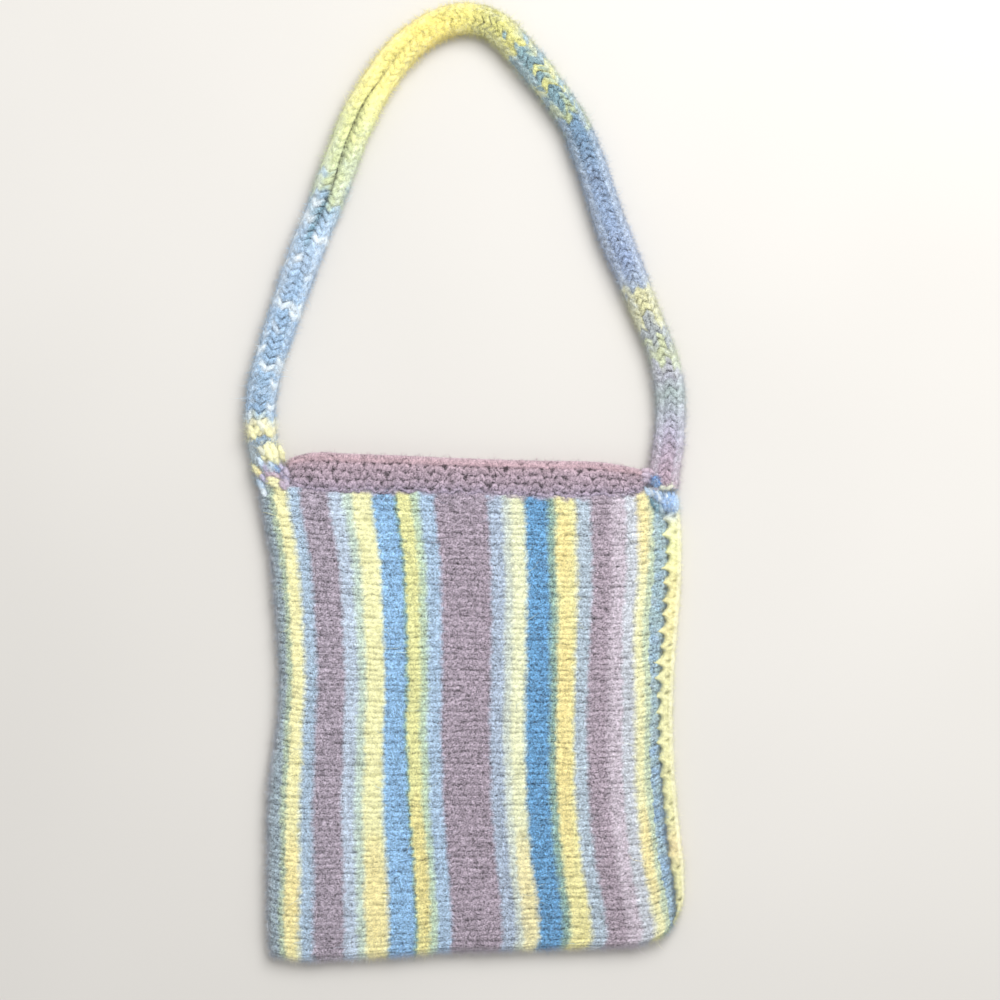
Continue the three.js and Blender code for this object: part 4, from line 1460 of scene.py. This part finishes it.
# %% Corner stitches
# both ends in plan in millimetres, the yarn's radius, and its dye from 0 to 1 along the chart below
CORNER_STITCHES = [
    (-131.6, 25.6, -126.4, 13.0, 2.3, 0.1), (-127.0, 26.0, -123.6, 11.4, 2.7, 0.1),
    (-122.4, 24.4, -119.6, 13.6, 2.2, 0.1), (-135.6, 24.0, -130.4, 17.4, 1.9, 0.3),
    (-141.2, 37.4, -137.4, 28.0, 2.4, 0.12), (-136.0, 40.6, -131.0, 33.0, 2.2, 0.3),
    (-132.0, 37.0, -126.6, 29.6, 2.4, 0.12), (-134.6, 37.4, -138.8, 30.4, 2.2, 0.1),
    (-139.6, 12.0, -134.4, 3.6, 1.5, 0.1), (-137.6, 10.6, -132.4, 3.0, 1.2, 0.05),
    (-136.0, 17.0, -131.8, 9.0, 1.7, 0.7), (-133.4, 13.0, -128.4, 6.0, 1.6, 0.5),
    (-130.6, 12.0, -126.0, 6.4, 1.3, 0.66), (-129.0, 14.0, -124.0, 7.4, 1.6, 0.72),
    (-126.4, 11.6, -121.4, 6.4, 1.6, 0.86), (-122.4, 12.6, -118.2, 5.4, 1.7, 0.5),
    (-119.4, 11.0, -115.2, 3.4, 1.7, 0.46), (-120.0, 6.6, -115.4, 0.0, 1.6, 0.5),
    (-132.0, 8.4, -126.6, 3.2, 1.5, 0.42), (-128.2, 7.0, -121.4, 3.0, 1.5, 0.42),
    (-131.6, 3.6, -121.0, 0.4, 1.9, 0.1), (-130.0, 1.0, -121.4, -2.4, 1.7, 0.1),
    (-136.8, 3.6, -131.8, -4.6, 1.7, 0.72), (-135.4, 7.2, -130.6, 0.2, 1.5, 0.5),
    (-134.4, -1.6, -130.4, -9.4, 1.6, 0.66), (-121.6, 7.6, -117.4, 1.2, 2.0, 0.48),
    (-120.4, 3.4, -115.6, -3.0, 2.1, 0.46), (-122.0, 1.4, -117.0, -4.4, 1.9, 0.44),
    (119.6, 2.0, 124.4, 3.4, 1.7, 0.97), (120.6, 3.4, 123.6, -3.4, 1.7, 0.92),
    (122.8, 3.6, 125.8, -2.8, 1.5, 0.97), (119.2, 0.4, 124.2, -1.2, 1.5, 0.85),
    (125.0, -2.0, 129.6, -4.2, 1.2, 0.3), (129.2, -4.2, 134.4, -1.6, 1.2, 0.3),
    (115.6, -3.0, 120.2, -9.4, 1.5, 0.72), (118.0, -3.4, 122.2, -10.0, 1.4, 0.66),
    (120.4, -4.2, 124.6, -12.4, 1.5, 0.82), (123.0, -4.6, 126.2, -13.4, 1.4, 0.66),
    (125.6, -5.0, 127.2, -14.8, 1.5, 0.76), (119.2, -9.4, 122.6, -17.0, 1.4, 0.6),
    (122.4, -11.4, 124.6, -20.0, 1.5, 0.6), (125.2, -13.0, 127.0, -20.4, 1.4, 0.62),
    (128.4, -6.2, 128.8, -19.0, 1.9, 0.8), (131.4, -5.4, 131.4, -20.2, 2.0, 0.86),
    (134.2, -6.0, 134.2, -20.0, 1.9, 0.8), (136.2, -8.0, 136.4, -19.4, 1.7, 0.72),
    (130.0, -5.8, 130.2, -13.0, 1.1, 0.66), (132.8, -9.4, 132.8, -19.6, 1.1, 0.66),
    (113.6, 8.4, 121.6, 7.0, 1.8, 0.42), (113.4, 5.6, 121.8, 4.0, 1.9, 0.44),
    (113.8, 2.2, 121.0, 0.6, 1.8, 0.45),
]
print(len(CORNER_STITCHES), "stitches sew the corners")

# %% [markdown]
# A stitch is pulled tight over what lies below it. So the highest points near its path are looked up among
# the points of the other pieces, smoothed along the stitch, and lowered at both ends, where the yarn goes in.
# Felting has pressed the yarn flat, like a leaf.

# %% Laying the stitches
STITCH_STEPS = 18
STITCH_SIDES = 10
STITCH_DIP = 2.4
STITCH_LIFT = 0.1
LEAF_FLATNESS = 0.55
LOWEST_SEWING = -30 * MM
REST_REACH = 2 * MM
under_stitches = (strap_points, front_points, band_points, edging_points)
carried = np.vstack([block.reshape(-1, 3) for block in under_stitches])
carried = carried[carried[:, 1] > LOWEST_SEWING]


def resting_level(x, y):
    """The highest point of the pieces below a place, in metres."""
    near = np.hypot(carried[:, 0] - x, carried[:, 1] - y) < REST_REACH
    return carried[near, 2].max() if near.any() else FOLD_HEIGHT * MM


corner_yarns = []
share = np.linspace(0, 1, STITCH_STEPS)
dip = np.abs(2 * share - 1) ** 4 * STITCH_DIP
leaf = np.sin(np.pi * blend(0.06, 0.94, share)) ** 0.6
for x0, y0, x1, y1, radius, _ in CORNER_STITCHES:
    x, y = blend(x0, x1, share) * MM, blend(y0, y1, share) * MM
    level = np.array([resting_level(px, py) for px, py in zip(x, y)])
    level = np.convolve(np.pad(level, 2, mode="edge"), np.ones(5) / 5, mode="valid")
    path = np.column_stack([x, y, level + (STITCH_LIFT * radius - dip) * MM])
    corner_yarns.append(swept(path, radius * leaf * MM, STITCH_SIDES, LEAF_FLATNESS))
print("The stitches reach", round(max(yarn[:, 2].max() for yarn in corner_yarns) / MM, 1), "mm high")

# %% [markdown]
# Every stitch has one dye, read from a chart that holds all the sewing yarns in a row. The blue yarn is
# blotched with pale wool, as it is on the strap.

# %% The sewing's wool
CORNER_CHART = [
    (0.0, 240, 216, 150), (0.08, 246, 243, 196), (0.2, 246, 242, 198), (0.3, 240, 242, 222),
    (0.42, 212, 192, 206), (0.5, 196, 192, 216), (0.6, 120, 160, 176), (0.66, 226, 236, 244),
    (0.72, 190, 212, 232), (0.8, 158, 188, 226), (0.9, 136, 172, 212), (0.97, 112, 152, 204),
]
SEWING_MOTTLE = 2.6 * MM
MOTTLE_MIX = 2.6
BLUE_DYES = 0.55


def sewing_yarn(start):
    """The dye of each stitch, with pale patches where it is blue."""
    dye = start.kept("dye")
    patches = start.noise(SEWING_MOTTLE, 2.0, 1.0) - NOISE_MEAN
    return dye.ramp(CORNER_CHART).mixed(PALE_WOOL, MOTTLE_MIX * patches * dye.above(BLUE_DYES))


corner_count = len(CORNER_STITCHES)
yarn_size = STITCH_STEPS * STITCH_SIDES + 2
corner_values = {
    "dye": np.repeat([stitch[-1] for stitch in CORNER_STITCHES], yarn_size),
    "tint": np.repeat(np.random.default_rng(51).uniform(-1, 1, corner_count), yarn_size),
    "crevice": np.zeros(yarn_size * corner_count),
}
corner_faces = repeated(tube_faces(STITCH_STEPS, STITCH_SIDES), yarn_size, corner_count)
corner_wool = felted_wool("sewing_wool", sewing_yarn, groove=0.4, curly=0.6)
corner = add_piece("corner_sewing", corner_yarns, corner_faces, "yellow_yarn", corner_wool, **corner_values)

# %% [markdown]
# ## Loose wool
#
# A felted surface is covered with fine hairs, and against the floor they make the bag's soft outline. Blender
# could grow them as hair curves, but those don't go into an exported mesh, so every hair is a tiny bent cone
# of ten triangles, and all hairs of one kind on a piece are one mesh. A hair keeps the values of the point
# it grows from, so the piece's own material gives it the same colour, lightened by painted light where loose
# fibres catch the light, and without the painted shade of grooves and slits.

# %% Hairs
HAIR_LEAN = (0.25, 1.35)
HAIR_LIGHT = 2.0
HAIR_RADIUS = (0.07, 0.12)
HAIR_ROOT = 0.2 * MM
HAIR_FLOOR = 2 * MM
FACING_UP = 0.55
FACING_DOWN = -0.35
BENT_HAIR = [(2, 1, 0), (0, 1, 4, 3), (1, 2, 5, 4), (2, 0, 3, 5), (3, 4, 6), (4, 5, 6), (5, 3, 6)]
STRAIGHT_HAIR = [(2, 1, 0), (0, 1, 3), (1, 2, 3), (2, 0, 3)]


def unit(ways):
    return ways / np.maximum(np.linalg.norm(ways, axis=1, keepdims=True), 1e-9)


def read_points(layer, field, width, count):
    """What a mesh keeps on its points, as an array."""
    values = np.empty(count * width, np.float32)
    layer.foreach_get(field, values)
    return values.reshape(-1, width).astype(float)


def add_hairs(name, piece, count, length, seed, on_top, at_sides, bent, leaning=HAIR_LEAN, light=HAIR_LIGHT):
    """Hairs on random points of a piece, with one favour for what faces up and another for its sides."""
    dice = np.random.default_rng(seed)
    mesh = piece.data
    points = read_points(mesh.vertices, "co", 3, len(mesh.vertices))
    normals = read_points(mesh.vertex_normals, "vector", 3, len(mesh.vertices))
    favour = np.where(normals[:, 2] > FACING_UP, on_top, at_sides)
    favour = favour * (normals[:, 2] > FACING_DOWN) * (points[:, 2] > HAIR_FLOOR)
    roots = dice.choice(len(points), count, p=favour / favour.sum())
    out = normals[roots]
    drift = dice.normal(size=(count, 3))
    drift = unit(drift - out * np.sum(drift * out, axis=1, keepdims=True))
    lean = dice.uniform(*leaning, (count, 1))
    size = length * dice.lognormal(0, 0.45, (count, 1)).clip(0.3, 2.0)
    first_way = out * np.cos(lean) + drift * np.sin(lean)
    curl = np.cross(out, drift) * dice.uniform(-0.9, 0.9, (count, 1)) - out * dice.uniform(0, 0.7, (count, 1))
    root = points[roots] - out * HAIR_ROOT
    knee = root + first_way * size * 0.5
    tip = knee + unit(first_way + curl) * size * 0.5
    aside_way = unit(np.cross(first_way, out + drift * 0.3))
    over_way = np.cross(aside_way, first_way)
    radius = dice.uniform(*HAIR_RADIUS, (count, 1)) * MM
    thirds = [2 * np.pi * k / 3 for k in range(3)]
    spokes = [radius * (np.cos(turn) * aside_way + np.sin(turn) * over_way) for turn in thirds]
    knees = [knee + 0.8 * spoke for spoke in spokes] if bent else []
    hair = np.stack([root + spoke for spoke in spokes] + knees + [tip], axis=1)
    each = hair.shape[1]
    faces = repeated(BENT_HAIR if bent else STRAIGHT_HAIR, each, count)
    kept_values = {}
    for kept in mesh.attributes:
        if kept.data_type == "FLOAT" and kept.domain == "POINT":
            grown = read_points(kept.data, "value", 1, len(points))[roots, 0]
            kept_values[kept.name] = np.repeat(grown, each)
    # Hairs get none of the painted shade, and their tint is raised as painted light that loose fibres catch
    for shaded in ("crevice", "open", "groove"):
        kept_values[shaded] = np.zeros(each * count)
    kept_values["tint"] = kept_values["tint"] + light
    add_piece(name, hair, faces, piece["slot_name"], mesh.materials[0], **kept_values)


print("A bent hair has", sum(len(face) - 2 for face in BENT_HAIR), "triangles")

# %% [markdown]
# Bent curls grow on the front, the strap and the band. Straight hairs of four triangles are enough on the
# seam, on the sewing and at the sides, where they make the outline. A few long strays lie flat on the front
# and on the strap, as single hairs do after a wash, painted pale as a highlight where they catch the light.

# %% The wool of each piece
STRAY_LEAN = (1.3, 1.5)
STRAY_LIGHT = 9.0
STRAY_LENGTH = 9 * MM
HAIR_SEED = 61
STRAY_SEED = 71
# name, piece, number of hairs, length in millimetres, favour of the top and of the sides, and whether bent
HAIRY_PIECES = [
    ("front_curls", front, 16000, 4.5, 1.0, 1.5, True),
    ("front_fuzz", front, 16000, 3.6, 0.0, 1.0, False),
    ("strap_curls", strap, 9000, 4.0, 0.7, 1.0, True),
    ("strap_fuzz", strap, 9000, 3.6, 0.0, 1.0, False),
    ("band_curls", band, 5000, 2.8, 1.0, 0.6, True),
    ("seam_fuzz", seam, 6000, 3.0, 1.0, 1.0, False),
    ("corner_fuzz", corner, 5000, 3.2, 1.0, 1.0, False),
]
for k, (hairs_name, piece, count, length, on_top, at_sides, bent) in enumerate(HAIRY_PIECES):
    add_hairs(hairs_name, piece, count, length * MM, HAIR_SEED + k, on_top, at_sides, bent)
STRAYS = [("front_strays", front, 900), ("strap_strays", strap, 250)]
for k, (hairs_name, piece, count) in enumerate(STRAYS):
    add_hairs(hairs_name, piece, count, STRAY_LENGTH, STRAY_SEED + k, 1.0, 0.5, True, STRAY_LEAN, STRAY_LIGHT)

# %% [markdown]
# ## Floor and light
#
# The floor is one plain pale face, a hair's breadth below the bag so that the two never share a plane. A
# slow noise keeps it from looking like a flat colour.

# %% Floor
FLOOR_HALF = 4.0
FLOOR_DROP = -0.3 * MM
FLOOR_CLOUD = 0.4
FLOOR_ROUGHNESS = 0.8
FLOOR_CHART = [(0.3, 206, 203, 198), (0.7, 212, 209, 204)]

floor_mesh = bpy.data.meshes.new("floor")
floor_signs = [(-1, -1), (1, -1), (1, 1), (-1, 1)]
floor_corners = [(FLOOR_HALF * x, FLOOR_HALF * y, FLOOR_DROP) for x, y in floor_signs]
floor_mesh.from_pydata(floor_corners, [], [(0, 1, 2, 3)])
floor = bpy.data.objects.new("floor", floor_mesh)
scene.collection.objects.link(floor)
floor_paint = bpy.data.materials.new("pale_floor")
floor_paint.use_nodes = True
floor_start = Wire(floor_paint.node_tree)
floor_shader = floor_paint.node_tree.nodes["Principled BSDF"]
floor_cloud = floor_start.noise(FLOOR_CLOUD, 2.0, 0.0)
floor_start.feed(floor_shader.inputs["Base Color"], floor_cloud.ramp(FLOOR_CHART))
floor_shader.inputs["Roughness"].default_value = FLOOR_ROUGHNESS
floor_mesh.materials.append(floor_paint)
print("The floor is", 2 * FLOOR_HALF, "m wide")

# %% [markdown]
# A large soft light stands towards the top of the picture and a little to the right, as in the photograph.
# Sun would draw hard shadows, so an area light is used, and a bright even surround fills its shadows.

# %% Light
SURROUND = 0.60
KEY_POWER = 25.5
KEY_SIZE = 1.1
KEY_PLACE = (0.45, 0.75, 1.25)

world = bpy.data.worlds.new("surround")
world.use_nodes = True
world.node_tree.nodes["Background"].inputs["Color"].default_value = (1.0, 1.0, 1.0, 1.0)
world.node_tree.nodes["Background"].inputs["Strength"].default_value = SURROUND
scene.world = world
key = bpy.data.objects.new("key_light", bpy.data.lights.new("key_light", "AREA"))
key.data.energy = KEY_POWER
key.data.size = KEY_SIZE
key.location = KEY_PLACE
key.rotation_euler = key.location.to_track_quat("Z", "Y").to_euler()
scene.collection.objects.link(key)
print("Key light of", KEY_POWER, "W")
